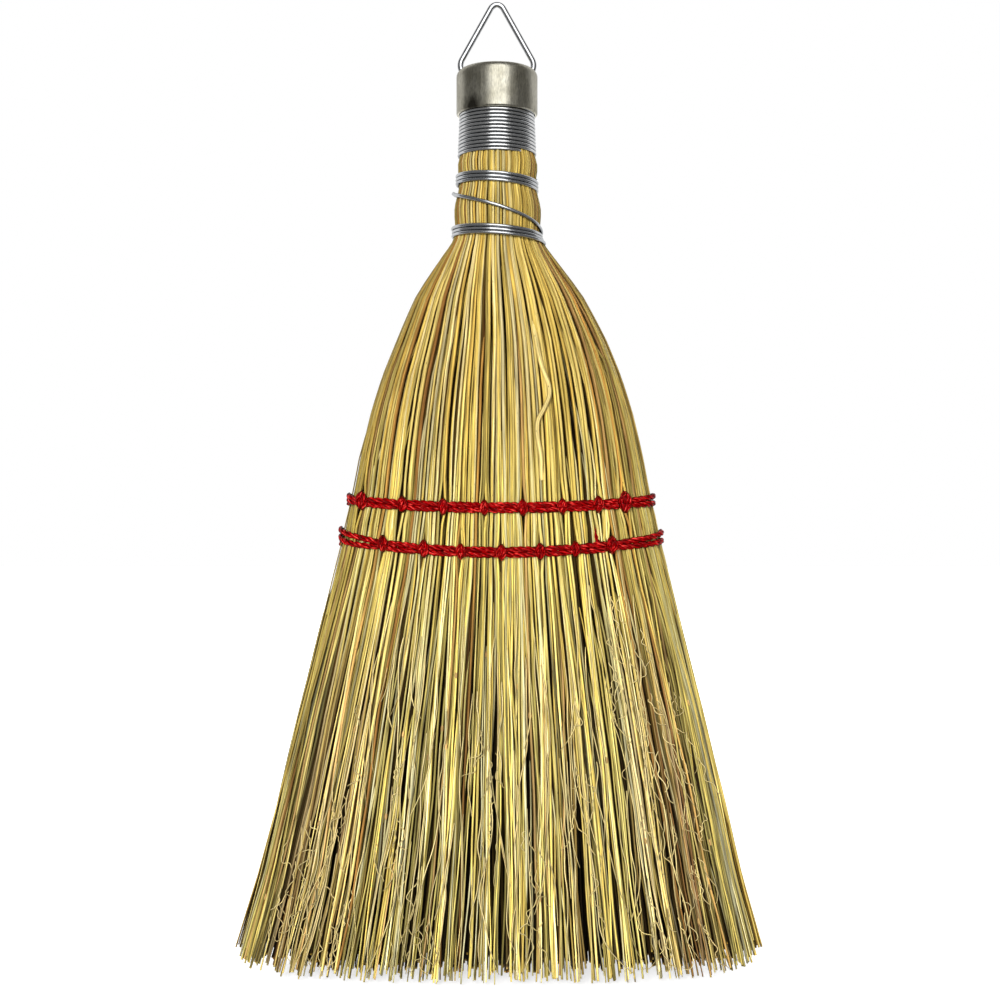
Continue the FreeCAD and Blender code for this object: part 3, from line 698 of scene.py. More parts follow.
def straw_paths(kind, across, side, sink, heights, radii):
    """Paths from top to tip, at a place across the fan and sunk below its surface."""
    side = np.broadcast_to(side, across.shape)[:, None]
    place = across[:, None]
    room = np.interp(heights, SWAY_HEIGHTS, SWAY_ROOMS)
    shift = room * waves(heights) + clump(place, side, heights) + splay(heights, kind.slant)
    place = np.clip(place + shift / way_round(heights), -1.0, 1.0)
    sink = sink + lobe_valley(place, heights) + SINK_SWAY * room * waves(heights)
    x, y = on_fan(place, side, heights, radii + sink)
    return line(x + kind.parting * part_at_stitches(x, heights), y, heights)


def golden(count, start):
    """Places from -1 to 1 that are evenly spread however many are taken."""
    step = (math.sqrt(5.0) - 1.0) / 2.0
    return 2.0 * ((start + step * np.arange(count)) % 1.0) - 1.0


def column(low, high, count):
    """One random number per straw, as a column."""
    return random.uniform(low, high, (count, 1))


# Straws of one face: all of them, those that start at the handle, and how far across they go
FACE_COUNT = 370
MAIN_COUNT = 58
MAIN_JITTER = 0.01
MAIN_SINK = 0.35
FACE_LIMIT = 0.99

# The other straws come out from under these: how many are out by height, the way that it takes, their
# depth before and rest after, and the painted shade of those still sunk and of those that rest deep
EMERGE_COUNTS = (58.0, 94.0, 148.0, 222.0, 296.0, 370.0)
EMERGE_HEIGHTS = (240.0, 214.0, 186.0, 150.0, 84.0, 14.0)
EMERGE_LENGTH = 44.0
EMERGE_ROOT = 8.0
EMERGE_DEPTH = 4.0
EMERGE_PAINTED_SHADE = 0.75
REST_HIGH, REST_SHADE_FROM, REST_LOW = -0.4, 0.1, 1.3
BURIED_PAINTED_SHADE, LOW_BURIED_PAINTED_SHADE = 0.4, 0.8
EDGE_EVERY = 7

# Straw inside the fan: layers from the middle out, their painted shades and brown shade tint, where the
# straws start, and the layer from which they go with a face
FACE_LAYER = 0.5
INNER_COUNT = 2200
INNER_SHADE_TINT = np.array((1.0, 0.78, 0.5))
INNER_LAYERS = (0.04, 0.93)
INNER_LOW_SHADE = 0.5
INNER_FIRST = 0.3
SHADE_LAYERS, LAYER_SHADES = (0.0, 0.7, 0.85, 0.93), (0.02, 0.03, 0.08, 0.2)
TOP_CHANCES, INNER_TOPS = (0.0, 0.25, 1.0), (70.0, 200.0, 284.0)

# Kinds of straw: radii from and to, their taper by height, rag of the tips, slant, places of the rings from
# top to tip, the flattest straw, sides of the tube, rise of the tips, and parting at the stitches
KIND_FIELDS = "radii heights tapers rag slant rings flattest sides rise parting"
Kind = namedtuple("Kind", KIND_FIELDS, defaults=(0.0, 1.0))
MAIN_MARKS = np.concatenate((
    np.arange(STRAW_TOP, 236.0, -2.2), np.arange(236.0, 120.0, -5.0), np.arange(120.0, -0.1, -8.0),
))
MAIN = Kind(
    radii=(0.48, 0.8), heights=(0.0, 150.0, 200.0, 236.0, 246.0), tapers=(0.56, 0.84, 1.0, 0.95, 0.86),
    rag=2.2, slant=0.014, rings=1.0 - MAIN_MARKS / STRAW_TOP, flattest=0.75, sides=8,
)
EMERGING = Kind(
    radii=(0.28, 0.62), heights=(0.0, 60.0, 200.0), tapers=(0.74, 0.86, 1.0),
    rag=2.6, slant=0.022, rings=shares(30), flattest=0.7, sides=7,
)
INNER = Kind(
    radii=(0.4, 0.85), heights=(0.0, 60.0, 200.0), tapers=(0.75, 1.0, 1.0),
    rag=2.6, slant=0.024, rings=shares(24), flattest=0.75, sides=5, rise=2.5, parting=0.0,
)
CUT_LENGTH = 0.8


def straw_rings(kind, across, top):
    """Heights of each straw's rings from top to tip, two at the cut end, and their radii."""
    count = len(across)
    to_edge = np.maximum(np.abs(across) - FLAT_TIPS, 0.0) / (1.0 - FLAT_TIPS)
    ragged = np.abs(random.normal(0.0, kind.rag, count))
    tips = TIP_RISE * to_edge ** 2 + ragged + random.uniform(0.0, TIP_JITTER, count) + kind.rise
    heights = np.reshape(top, (-1, 1)) + (tips + CUT_LENGTH - top)[:, None] * kind.rings
    heights = np.column_stack((heights, tips))
    return heights, column(*kind.radii, count) * np.interp(heights, kind.heights, kind.tapers)


def straw_tubes(kind, paths, radii, tints):
    return Tubes(paths, radii, tints, random.uniform(kind.flattest, 1.0, len(paths)), kind.sides)


def main_straws(side):
    """Straws that run from the handle to the tips."""
    count = MAIN_COUNT
    across = (np.arange(count) + 0.5) / count * 2.0 - 1.0 + random.normal(0.0, MAIN_JITTER, count)
    across = np.clip(across, -FACE_LIMIT, FACE_LIMIT)
    heights, radii = straw_rings(MAIN, across, STRAW_TOP)
    paths = straw_paths(MAIN, across, side, column(-MAIN_SINK, MAIN_SINK, count), heights, radii)
    return across, straw_tubes(MAIN, paths, radii, straw_tints(across, heights))


def emerging_straws(side):
    """Straws that come out from under the others on the way down."""
    count = FACE_COUNT - MAIN_COUNT
    across = golden(count, random.uniform()) * FACE_LIMIT
    to_edge = np.sign(across) * blend(EDGE_START, FACE_LIMIT, np.abs(across))
    across = np.where(np.arange(count) % EDGE_EVERY == 0, to_edge, across)
    emerge = np.interp(np.arange(MAIN_COUNT, FACE_COUNT), EMERGE_COUNTS, EMERGE_HEIGHTS)
    top = np.minimum(emerge + EMERGE_LENGTH + EMERGE_ROOT, STRAW_TOP)
    heights, radii = straw_rings(EMERGING, across, top)
    sunk = ease((heights - emerge[:, None]) / EMERGE_LENGTH)
    rest = column(REST_HIGH, REST_LOW, count)
    paths = straw_paths(EMERGING, across, side, rest + EMERGE_DEPTH * sunk, heights, radii)
    # Painted shade: straws that rest deeper, and those still sunk, are darkened
    buried = np.interp(rest, (REST_SHADE_FROM, REST_LOW), (0.0, 1.0))
    dark = blend(BURIED_PAINTED_SHADE, LOW_BURIED_PAINTED_SHADE, low_share(heights)) * buried
    tints = straw_tints(across, heights, (1.0 - dark) * (1.0 - EMERGE_PAINTED_SHADE * sunk))
    return across, straw_tubes(EMERGING, paths, radii, tints)


def inner_straws():
    """Straw inside the fan, darkened with painted shade in layers towards the middle."""
    count = INNER_COUNT
    across = golden(count, INNER_FIRST) * FACE_LIMIT
    side = np.where(random.uniform(0.0, 1.0, count) < 0.5, -1.0, 1.0)
    layer = random.permutation(np.linspace(*INNER_LAYERS, count))
    top = np.interp(random.uniform(0.0, 1.0, count), TOP_CHANCES, INNER_TOPS)
    heights, radii = straw_rings(INNER, across, top)
    sink = (1.0 - layer)[:, None] * half_depth(heights)
    paths = straw_paths(INNER, across, side, sink, heights, radii)
    # Painted shade: inner straws darken by layer and lower down, and turn brown
    shade = np.interp(layer, SHADE_LAYERS, LAYER_SHADES)[:, None]
    shade = shade * blend(1.0, INNER_LOW_SHADE, low_share(heights))
    tints = straw_tints(across, heights, shade) * INNER_SHADE_TINT
    return across, side * layer, straw_tubes(INNER, paths, radii, tints)


# Thin fibres and curls: where they gather, as place across and height
CURL_SPOTS = (
    (-0.80, 40.0), (-0.72, 24.0), (-0.66, 50.0), (-0.60, 20.0), (-0.42, 50.0), (-0.30, 22.0), (-0.05, 60.0),
    (0.12, 30.0), (0.34, 46.0), (0.52, 88.0), (0.62, 104.0), (0.66, 70.0), (0.72, 44.0), (0.76, 86.0),
    (0.80, 60.0), (0.70, 20.0), (0.56, 24.0),
)
CURLS_PER_SPOT = 9
SPOT_WIDE, SPOT_TALL, SPOT_RISE = 0.035, 15.0, 6.0
CURL_LOWEST, CURL_HIGHEST = 10.0, 125.0
CURL_KINKS = 11
CURL_LENGTHS, CURL_BENDS, CURL_HOOKS, CURL_RADII = (6.0, 20.0), (0.3, 0.8), (0.2, 1.5), (0.15, 0.23)

# Long loose fibres
LOOSE_FIBRES = 90
FIBRE_LIMIT = 0.74
FIBRE_TOPS = (30.0, 132.0)
FIBRE_KINKS = 8
FIBRE_LENGTHS, FIBRE_BENDS, FIBRE_HOOK, FIBRE_RADII = (20.0, 80.0), (0.04, 0.16), 0.3, (0.16, 0.28)

# All fibres
FIBRE_TINT = linear(252, 230, 160)
FIBRE_PALE = 0.75
FIBRE_FOOT = 4.0
FIBRE_GAP, FIBRE_LIFT = 0.1, 0.9
FIBRE_PLACES, FIBRE_TAPERS = (0.0, 0.1, 0.8, 1.0), (0.6, 1.0, 0.9, 0.5)
FIBRE_RINGS, FIBRE_SIDES = 36, 4
HOOK_START = 0.6


def fibre_tubes(across, side, top, length, kinks, bend, hook, radius):
    """Thin fibres that wander over the straw with kinks, each with a hook at its end."""
    count = len(across)
    share = shares(FIBRE_RINGS)
    turns = random.normal(0.0, 1.0, (count, kinks)) * bend
    turn = np.array([np.interp(share, shares(kinks), row) for row in turns])
    turn = turn + hook * ease((share - HOOK_START) / (1.0 - HOOK_START))
    step = length[:, None] / len(share)
    heights = top[:, None] - np.cumsum(np.cos(turn) * step, axis=1)
    heights += np.maximum(FIBRE_FOOT - heights.min(axis=1, keepdims=True), 0.0)
    x, y = on_fan(across[:, None], side, heights, -FIBRE_GAP - radius)
    x = x + np.cumsum(np.sin(turn) * step, axis=1)
    y = y + side * column(0.0, FIBRE_LIFT, count) * ease(share)
    radii = radius * np.interp(share, FIBRE_PLACES, FIBRE_TAPERS)
    tints = blend(straw_tints(across, heights), FIBRE_TINT, FIBRE_PALE)
    return across, Tubes(line(x, y, heights), radii, tints, np.ones(count), FIBRE_SIDES)


def curl_straws(side):
    """Curled ends of broken fibres, in clusters low on the fan."""
    spots = np.repeat(np.array(CURL_SPOTS), CURLS_PER_SPOT, axis=0)
    count = len(spots)
    across = spots[:, 0] + random.normal(0.0, SPOT_WIDE, count)
    top = spots[:, 1] + random.normal(SPOT_RISE, SPOT_TALL, count)
    top = np.clip(top, CURL_LOWEST, CURL_HIGHEST)
    length = random.uniform(*CURL_LENGTHS, count)
    hook = random.choice((-1.0, 1.0), (count, 1)) * column(*CURL_HOOKS, count)
    bend = column(*CURL_BENDS, count)
    return fibre_tubes(across, side, top, length, CURL_KINKS, bend, hook, column(*CURL_RADII, count))


def loose_fibres(side):
    """Long fine fibres that lie along the lower straws."""
    count = LOOSE_FIBRES
    across = golden(count, random.uniform()) * FIBRE_LIMIT
    top = random.uniform(*FIBRE_TOPS, count)
    length = random.uniform(*FIBRE_LENGTHS, count)
    bend = column(*FIBRE_BENDS, count)
    hook = random.normal(0.0, FIBRE_HOOK, (count, 1))
    return fibre_tubes(across, side, top, length, FIBRE_KINKS, bend, hook, column(*FIBRE_RADII, count))


# Knots, short swellings where a stalk had a side shoot
KNOT_COUNT = 46
KNOT_HALF = 1.1
KNOT_SWELL = np.array((0.9, 1.15, 1.35, 1.2, 0.9))
KNOT_HEIGHTS = (18.0, 128.0)
KNOT_TINT = linear(208, 168, 104)
KNOT_SHADES = (0.7, 1.1)
KNOT_SIDES = 7


def knots(across, tubes):
    chosen = random.choice(len(across), KNOT_COUNT)
    middle = random.uniform(*KNOT_HEIGHTS, KNOT_COUNT)
    paths, radii = [], []
    for straw, height in zip(chosen, middle):
        heights = height + KNOT_HALF * np.linspace(1.0, -1.0, len(KNOT_SWELL))
        order = tubes.paths[straw, ::-1]
        paths.append(read_off(heights, order[:, 2], order))
        radii.append(np.interp(height, order[:, 2], tubes.radii[straw, ::-1]) * KNOT_SWELL)
    tints = np.broadcast_to(KNOT_TINT, np.shape(paths))
    tints = tints * random.uniform(*KNOT_SHADES, (KNOT_COUNT, 1, 1))
    return across[chosen], Tubes(np.array(paths), np.array(radii), tints, np.ones(KNOT_COUNT), KNOT_SIDES)


# Straws that stand off from the fan's edges near the tips, every third one at the left
STRAY_COUNT = 16
STRAY_TOP = 118.0
STRAY_PLACES = (0.9, 0.99)
LEFT_EVERY = 3
LEFT_REACH, RIGHT_REACH = 1.6, 4.0
LEAST_REACH = 0.1
FRONT_SHARE = 0.6
STRAY_CURVE = 1.5
STRAY = Kind(
    radii=(0.36, 0.55), heights=(0.0, STRAY_TOP), tapers=(0.8, 1.0),
    rag=2.5, slant=0.0, rings=shares(20), flattest=1.0, sides=6,
)


def stray_straws():
    count = STRAY_COUNT
    edge = np.where(np.arange(count) % LEFT_EVERY == 0, -1.0, 1.0)
    across = edge * random.uniform(*STRAY_PLACES, count)
    side = np.where(random.uniform(0.0, 1.0, count) < FRONT_SHARE, -1.0, 1.0)
    heights, radii = straw_rings(STRAY, across, STRAY_TOP)
    paths = straw_paths(STRAY, across, side, 0.0, heights, radii)
    away = ease((STRAY_TOP - heights) / STRAY_TOP) ** STRAY_CURVE
    reach = np.where(edge < 0.0, LEFT_REACH, RIGHT_REACH)
    paths[..., 0] += (edge * reach)[:, None] * column(LEAST_REACH, 1.0, count) * away
    tints = straw_tints(across, heights)
    return across, Tubes(paths, radii, tints, np.full(count, STRAY.flattest), STRAY.sides)


# One pale straw that wanders over the shoulder: place to the right, and height
WANDER = np.array((
    (11.0, 214.0), (11.4, 206.0), (12.7, 199.7), (15.3, 193.2), (15.6, 190.0), (13.7, 185.7),
    (11.4, 181.9), (11.4, 177.0), (12.7, 169.9), (13.6, 162.5),
))
WANDER_TINT = linear(226, 202, 128)
WANDER_RADIUS = 0.8
WANDER_RINGS, WANDER_SIDES = 60, 7
WANDER_PASSES = 3

# Its ends go into the straw over this length, from one inset to the other
WANDER_SINK = 9.0
WANDER_END, WANDER_MIDDLE = 1.0, -0.9


def wandering_straw():
    heights = np.linspace(WANDER[0, 1], WANDER[-1, 1], WANDER_RINGS)
    x = np.interp(heights, WANDER[::-1, 1], WANDER[::-1, 0])
    for _ in range(WANDER_PASSES):
        x[1:-1] = (x[:-2] + x[1:-1] + x[2:]) / 3.0
    across = x / way_round(heights)
    from_end = np.minimum(heights.max() - heights, heights - heights.min())
    inset = blend(WANDER_END, WANDER_MIDDLE, ease(from_end / WANDER_SINK))
    path = line(*on_fan(across, -1.0, heights, inset), heights)
    return across[:1], single_tube(path, WANDER_RADIUS, WANDER_SIDES, WANDER_TINT)


def column_of(across):
    """Column number of the part's source, zero at the left edge."""
    x = on_fan(across, -1.0, COLUMN_HEIGHT, 0.0)[0] - lean(COLUMN_HEIGHT)
    share = x / half_width(COLUMN_HEIGHT)
    return np.clip(((share + 1.0) / 2.0 * COLUMNS).astype(int), 0, COLUMNS - 1)


def face_straws(side):
    """All the straws, fibres, curls and knots of one face, each set with its places across."""
    emerging = emerging_straws(side)
    return [main_straws(side), emerging, loose_fibres(side), curl_straws(side), knots(*emerging)]


def make_tuft(name, bundles, material):
    """Straws in the place of one tuft, which has the same name but for one word."""
    piece = tube_object(name, bundles, material, STRAW_PAINTED_SHADE_POWERS)
    dress(piece, "broom", "straw", name.replace("straw", "tuft"))


def make_straw():
    material = straw_material()
    faces = {"front": face_straws(-1.0), "back": face_straws(1.0)}
    faces["front"].append(wandering_straw())
    stray_across, strays = stray_straws()
    inner_across, layer, inner = inner_straws()
    inner_column = column_of(inner_across)
    for number in range(1, COLUMNS - 1):
        for word, facing in (("front", layer <= -FACE_LAYER), ("back", layer >= FACE_LAYER)):
            bundles = [pick(tubes, column_of(across) == number) for across, tubes in faces[word]]
            bundles.append(pick(inner, (inner_column == number) & facing))
            make_tuft("%s_straw_%02d" % (word, number), bundles, material)
    for number in range(1, COLUMNS // 2):
        chosen = (np.abs(layer) < FACE_LAYER) & ((inner_column + 1) // 2 == number)
        chosen &= (inner_column > 0) & (inner_column < COLUMNS - 1)
        make_tuft("inside_straw_%d" % number, [pick(inner, chosen)], material)
    for word, number, sign in (("left", 0, -1.0), ("right", COLUMNS - 1, 1.0)):
        bundles = [pick(inner, inner_column == number), pick(strays, np.sign(stray_across) == sign)]
        for face in faces.values():
            bundles += [pick(tubes, column_of(across) == number) for across, tubes in face]
        make_tuft("%s_edge_straw" % word, bundles, material)


# Binding wire
WIRE_RADIUS = 0.6
WIRE_PITCH = 1.2
COLLAR_TURNS = 13
BAND_TURNS = 3
COLLAR_END = math.radians(322.0)
TURN_STEPS = 120
WIRE_SIDES = 16
WIRE_TINT = np.full(3, 0.95)
# Powers of the painted shade on the sides of the collar and neck wires
COLLAR_SHADE = 6.0
NECK_SHADE = 2.3

# How far out the neck wire runs along its turns: over the straw, and out with it at the lower end
NECK_TURNS = (0.0, 3.0, 3.3, 3.6, 3.9, 5.0, 5.5, 6.0, 6.5, 7.0)
NECK_REACHES = (12.75, 12.75, 13.2, 14.4, 14.3, 14.2, 14.0, 14.5, 14.1, 15.3)
WIRE_BED = 0.1

# Share of the crossing's drop that it takes at the back, and tilt of the bands as a share of their depth
BACK_DROP = 0.18
BAND_TILT = 0.065

# How far out the collar wire runs by height, its wobble, and how its end goes in under the others
COLLAR_HEIGHTS, COLLAR_REACHES = (COLLAR_FOOT, 284.0, 288.0), (12.6, 12.0, 11.9)
WOBBLE, WOBBLE_TURN = 0.03, 0.37
END_SINK, END_TURN = 1.6, 0.06


def single_tube(path, radius, sides, tint):
    radii = np.full((1, len(path)), radius)
    return Tubes(path[None], radii, np.broadcast_to(tint, (1, *path.shape)), np.ones(1), sides)


def collar_path():
    turn = np.linspace(0.0, COLLAR_TURNS, COLLAR_TURNS * TURN_STEPS + 1)
    angle = COLLAR_END + math.tau * (turn - COLLAR_TURNS)
    height = COLLAR_FOOT + WIRE_RADIUS + WIRE_PITCH * (COLLAR_TURNS - turn)
    radius = np.interp(height, COLLAR_HEIGHTS, COLLAR_REACHES) + WOBBLE * np.sin(angle * WOBBLE_TURN)
    radius = radius - END_SINK * ease((turn - COLLAR_TURNS + END_TURN) / END_TURN)
    return line(radius * np.cos(angle), radius * np.sin(angle), height)


def neck_path():
    turns = 2 * BAND_TURNS + 1
    turn = np.linspace(0.0, turns, turns * TURN_STEPS + 1)
    angle = math.tau * turn
    half_band = WIRE_PITCH * BAND_TURNS / 2
    high_end = HIGH_BAND - half_band
    low_start = LOW_BAND + half_band
    back_end = blend(high_end, low_start, BACK_DROP)
    height = np.interp(
        turn, (0.0, BAND_TURNS, BAND_TURNS + 0.5, BAND_TURNS + 1.0, turns),
        (HIGH_BAND + half_band, high_end, back_end, low_start, LOW_BAND - half_band),
    )
    tilt = -BAND_TILT * half_depth(height) * np.cos(angle)
    radius = np.interp(turn, NECK_TURNS, NECK_REACHES) + WIRE_RADIUS - WIRE_BED
    return line(radius * np.cos(angle), radius * np.sin(angle), height + tilt)


def make_wires():
    material = wire_material()
    wires = (("collar_wire", collar_path(), COLLAR_SHADE), ("neck_wire", neck_path(), NECK_SHADE))
    for name, path, shade in wires:
        tube = single_tube(path, WIRE_RADIUS, WIRE_SIDES, WIRE_TINT)
        piece = tube_object(name + "_turns", [tube], material, shade)
        dress(piece, "broom", "binding_wire", name)


# Twine
TWINE_RED = linear(148, 0, 3)
PLY_SHADES = (0.85, 1.15)
PLY_COUNT = 3
PLY_RADIUS = 0.55
PLY_OFFSET = 0.52
PLY_SIDES = 8
# Power of the painted shade on the sides of the plies
TWINE_SHADE = 2.2
TWIST_LENGTH = 7.5
TWINE_SEAT = 0.65
STRAND_APART = 0.88
STRAND_PINCH, PINCH_HALF = 0.42, 0.04
SWAP_START, SWAP_LENGTH = 0.9, 0.2
ROW_STEPS = 1500

# Stitches: half height, round of the corners, reach over the straw, and places and size of the strands
STITCH_TALL = 2.15
STITCH_CORNER = 1.8
STITCH_PROUD = 2.2
STITCH_SHIFTS = (-1.1, 0.0, 1.1)
STITCH_SHARE = 0.72
STITCH_STEP = 0.35

# Corners of a stitch in turn: its side of the middle in depth and height, and the quarter it starts at
STITCH_CORNERS = ((-1, -1, 2), (1, -1, 3), (1, 1, 0), (-1, 1, 1))
CORNER_STEPS = 9
QUARTER = math.pi / 2

# A loose end of twine that rises from the lower row: place to the right, and height over the row
TAIL_FOOT, TAIL_HEAD = 31.6, 30.8
TAIL_START, TAIL_RISE = 2.0, 6.5
TAIL_OUT, TAIL_IN = -0.6, 1.2
TAIL_STEPS = 30


def twisted(path, reference, share=1.0):
    """Plies that turn about a path; reference is any direction across it."""
    along = unit(np.gradient(path, axis=0))
    first = unit(reference - along * np.sum(reference * along, axis=1, keepdims=True))
    second = np.cross(along, first)
    length = run_along(path)
    plies = []
    for number in range(PLY_COUNT):
        turn = math.tau * (length / (TWIST_LENGTH * share) + number / PLY_COUNT)[:, None]
        ply = path + share * PLY_OFFSET * (np.cos(turn) * first + np.sin(turn) * second)
        tint = TWINE_RED * random.uniform(*PLY_SHADES)
        plies.append(single_tube(ply, share * PLY_RADIUS, PLY_SIDES, tint))
    return plies


def row_path(row):
    """Two turns round the fan, one strand above the other, drawn together at each stitch."""
    turn = np.linspace(0.0, 2.0, ROW_STEPS)
    back = turn % 1.0 > 0.5
    across = np.where(back, 3.0 - 4.0 * (turn % 1.0), 4.0 * (turn % 1.0) - 1.0)
    level = row.height + row.rise * across ** 2
    x, y = on_fan(across, np.where(back, 1.0, -1.0), level, -TWINE_SEAT)
    apart = np.full(ROW_STEPS, STRAND_APART)
    for share, bulk in row.stitches:
        place = across_at(share, row.height)
        apart -= STRAND_PINCH * bulk * np.exp(-((across - place) / PINCH_HALF) ** 2)
    for place, half, extra in row.partings:
        apart += extra * np.exp(-((across - place) / half) ** 2)
    strand = 1.0 - 2.0 * ease((turn - SWAP_START) / SWAP_LENGTH)
    return line(x, y, level + strand * apart)


def even_path(points, step):
    """The same line with its points an even step apart."""
    length = run_along(points)
    even = np.linspace(0.0, length[-1], int(length[-1] / step))
    return read_off(even, length, points)


def stitch_path(row, share, bulk, shift):
    """Closed loop through the fan and over both strands of a row, widest at its middle."""
    level = row.height + row.rise * share ** 2
    x, front = on_fan(across_at(share, row.height), -1.0, level, 0.0)
    deep = -front + STITCH_PROUD
    tall = STITCH_TALL * bulk
    corner = STITCH_CORNER * bulk
    points = []
    for side_y, side_z, quarters in STITCH_CORNERS:
        for step in np.linspace(0.0, QUARTER, CORNER_STEPS):
            y = side_y * (deep - corner) + corner * math.cos(quarters * QUARTER + step)
            z = side_z * (tall - corner) + corner * math.sin(quarters * QUARTER + step)
            points.append((x + shift * bulk * (1.0 - (z / tall) ** 2), y, level + z))
    points.append(points[0])
    return even_path(np.array(points), STITCH_STEP)


def tail_path():
    share = shares(TAIL_STEPS)
    heights = LOWER.height + TAIL_START + TAIL_RISE * share
    across = blend(TAIL_FOOT, TAIL_HEAD, share) / way_round(heights)
    return line(*on_fan(across, -1.0, heights, blend(TAIL_OUT, TAIL_IN, share)), heights)


def make_twine():
    material = twine_material()
    sideways = np.array((1.0, 0.0, 0.0))
    upward = np.array((0.0, 0.0, 1.0))
    for row in (UPPER, LOWER):
        band = tube_object(row.word + "_twine", twisted(row_path(row), upward), material, TWINE_SHADE)
        dress(band, "broom", "twine", row.word + "_twine_band")
        loops = twisted(tail_path(), sideways, STITCH_SHARE) if row is LOWER else []
        for share, bulk in row.stitches:
            for shift in STITCH_SHIFTS:
                loops += twisted(stitch_path(row, share, bulk, shift), sideways, STITCH_SHARE * bulk)
        sewing = tube_object(row.word + "_sewing", loops, material, TWINE_SHADE)
        dress(sewing, "broom", "twine", row.word + "_stitches")


def make_metal():
    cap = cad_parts["cap"]
    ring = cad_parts["hang_ring"]
    blotch_place = cap.matrix_world.inverted() @ (Vector(BLOTCH_PLACE) * MM)
    for solid, material in ((cap, cap_material(blotch_place)), (ring, ring_material())):
        solid.data.materials.clear()
        solid.data.materials.append(material)


# Studio
CAMERA_DISTANCE = 500.0
CAMERA_HEIGHT = 156.0
CAMERA_ACROSS = 1.0
SENSOR = 36.0
FRAME_PIXELS = 1000.0
PIXELS_PER_MM = 3.0
WHITE, GREY, BLACK = (1.0, 1.0, 1.0, 1.0), (0.8, 0.8, 0.8, 1.0), (0.0, 0.0, 0.0, 1.0)
WORLD_LIGHT = 0.16


def make_camera():
    data = bpy.data.cameras.new("camera")
    data.sensor_width = SENSOR
    data.lens = SENSOR * CAMERA_DISTANCE * PIXELS_PER_MM / FRAME_PIXELS
    camera = add_object("camera", data)
    camera.location = Vector((CAMERA_ACROSS, -CAMERA_DISTANCE, CAMERA_HEIGHT)) * MM
    camera.rotation_euler = (math.pi / 2, 0.0, 0.0)
    bpy.context.scene.camera = camera


def seen_share(near):
    """One for rays from the camera, and for mirrored and bent ones."""
    rays = new_node(near, "LightPath", {}).outputs
    share = calculate("MAXIMUM", rays["Is Camera Ray"], rays["Is Glossy Ray"])
    return calculate("MAXIMUM", share, rays["Is Transmission Ray"])


def make_world():
    world = bpy.data.worlds.new("studio")
    bpy.context.scene.world = world
    world.use_nodes = True
    nodes = world.node_tree.nodes
    dim = nodes["Background"]
    feed(dim, {"Color": WHITE, "Strength": WORLD_LIGHT})
    white = new_node(dim, "Background", {"Color": WHITE, "Strength": 1.0})
    mix = new_node(dim, "MixShader", {0: seen_share(dim), 1: dim.outputs[0], 2: white.outputs[0]})
    feed(nodes["World Output"], {"Surface": mix.outputs[0]})


def flat_object(name, places, faces, material):
    mesh = bpy.data.meshes.new(name)
    mesh.from_pydata(places, [], faces)
    mesh.materials.append(material)
    return add_object(name, mesh)


# Floor, in metres: half its size, its gap to the broom, and how bright it is seen near and far off
FLOOR_HALF, FLOOR_GAP = 3.0, 0.0005
FLOOR_NEAR, FLOOR_FAR = 0.15, 0.7
NEAR_GLOW, FAR_GLOW = 0.66, 1.0


def make_floor():
    material, shader = new_material("floor")
    distance = new_node(shader, "VectorMath", {0: object_place(shader)}, operation="LENGTH")
    glow = remap(distance.outputs["Value"], FLOOR_NEAR, FLOOR_FAR, NEAR_GLOW, FAR_GLOW)
    feed(shader, {
        "Base Color": GREY, "Roughness": 0.9, "Emission Color": WHITE,
        "Emission Strength": calculate("MULTIPLY", glow, seen_share(shader)),
    })
    corners = [(x * FLOOR_HALF, y * FLOOR_HALF, 0.0) for x, y in ((-1, -1), (1, -1), (1, 1), (-1, 1))]
    floor = flat_object("floor", corners, [(0, 1, 2, 3)], material)
    floor.location.z = cad_box[0][2] - FLOOR_GAP


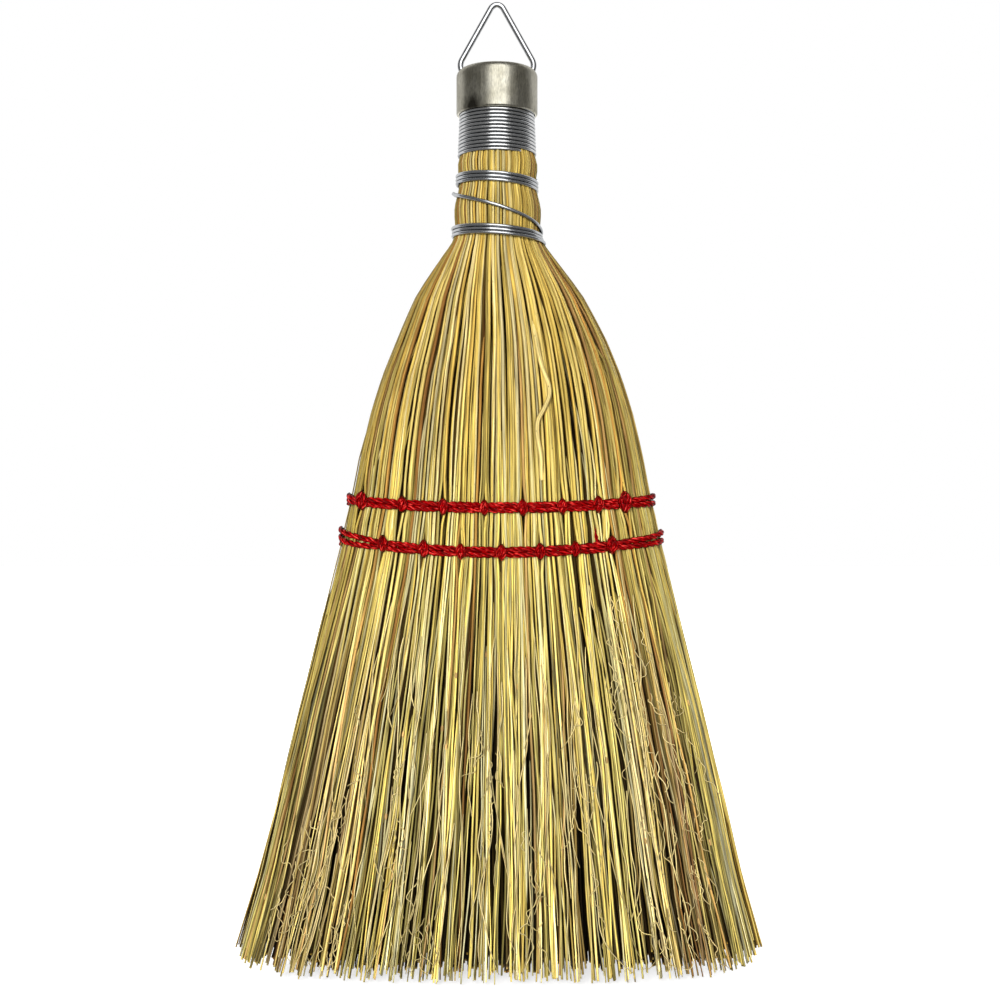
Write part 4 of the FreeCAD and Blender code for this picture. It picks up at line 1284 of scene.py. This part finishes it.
# Cards round the broom that only metal and gloss show: angles from the front in degrees, brightness,
# and the profile that goes round, as distance and height in metres
CARD_FLOOR = ((0.03, 0.0002), (1.9, 0.0002))
CARD_SCREEN = ((1.9, 0.0002), (1.9, 2.2), (1.3, 2.2))
CARD_WALL = CARD_FLOOR[:1] + CARD_SCREEN
CARD_TOP = ((1.3, 2.2), (0.02, 2.2))
CARDS = (
    ("top_card", -180.0, 180.0, 0.12, CARD_TOP),
    ("far_left_card", -165.0, -112.0, 0.65, CARD_WALL),
    ("left_card", -112.0, -21.0, 0.12, CARD_WALL),
    ("front_card", -21.0, 30.0, 0.12, CARD_FLOOR),
    ("front_screen", -21.0, 30.0, 1.95, CARD_SCREEN),
    ("right_card", 30.0, 112.0, 0.1, CARD_WALL),
    ("far_right_card", 112.0, 165.0, 0.65, CARD_WALL),
)
CARD_STEPS = 16


def make_card(name, first, last, glow, profile):
    material, shader = new_material(name)
    feed(shader, {
        "Base Color": BLACK, "Specular IOR Level": 0.0, "Emission Color": WHITE, "Emission Strength": glow,
    })
    turn = np.radians(np.linspace(first, last, CARD_STEPS))
    places = [(far * math.sin(way), -far * math.cos(way), height) for far, height in profile for way in turn]
    row, step = wall_corners(len(profile), CARD_STEPS - 1)
    faces = (row * CARD_STEPS + step).reshape(-1, 4).tolist()
    card = flat_object(name, places, faces, material)
    for rays in ("camera", "diffuse", "shadow", "transmission"):
        setattr(card, "visible_" + rays, False)


# Lamps, which gloss doesn't show: place in metres, size and power
LAMP_TARGET = Vector((0.0, 0.0, 0.16))
LAMPS = (
    ("key", (-0.35, -1.4, 0.55), 0.6, 25.0),
    ("fill", (0.9, -1.2, 0.5), 0.9, 4.0),
    ("back_left", (-1.0, 1.1, 0.6), 0.9, 17.0),
    ("back_right", (1.0, 1.1, 0.6), 0.9, 17.0),
)


def make_lamp(name, place, size, power):
    data = bpy.data.lights.new(name, "AREA")
    data.shape = "SQUARE"
    data.size = size
    data.energy = power
    lamp = add_object(name, data)
    lamp.location = place
    lamp.rotation_euler = (LAMP_TARGET - lamp.location).to_track_quat("-Z", "Y").to_euler()
    lamp.visible_glossy = False


def make_studio():
    make_camera()
    make_world()
    make_floor()
    for card in CARDS:
        make_card(*card)
    for lamp in LAMPS:
        make_lamp(*lamp)
    bpy.context.scene.view_settings.view_transform = "Standard"


make_straw()
make_wires()
make_twine()
make_metal()
make_studio()

bpy.context.view_layer.update()
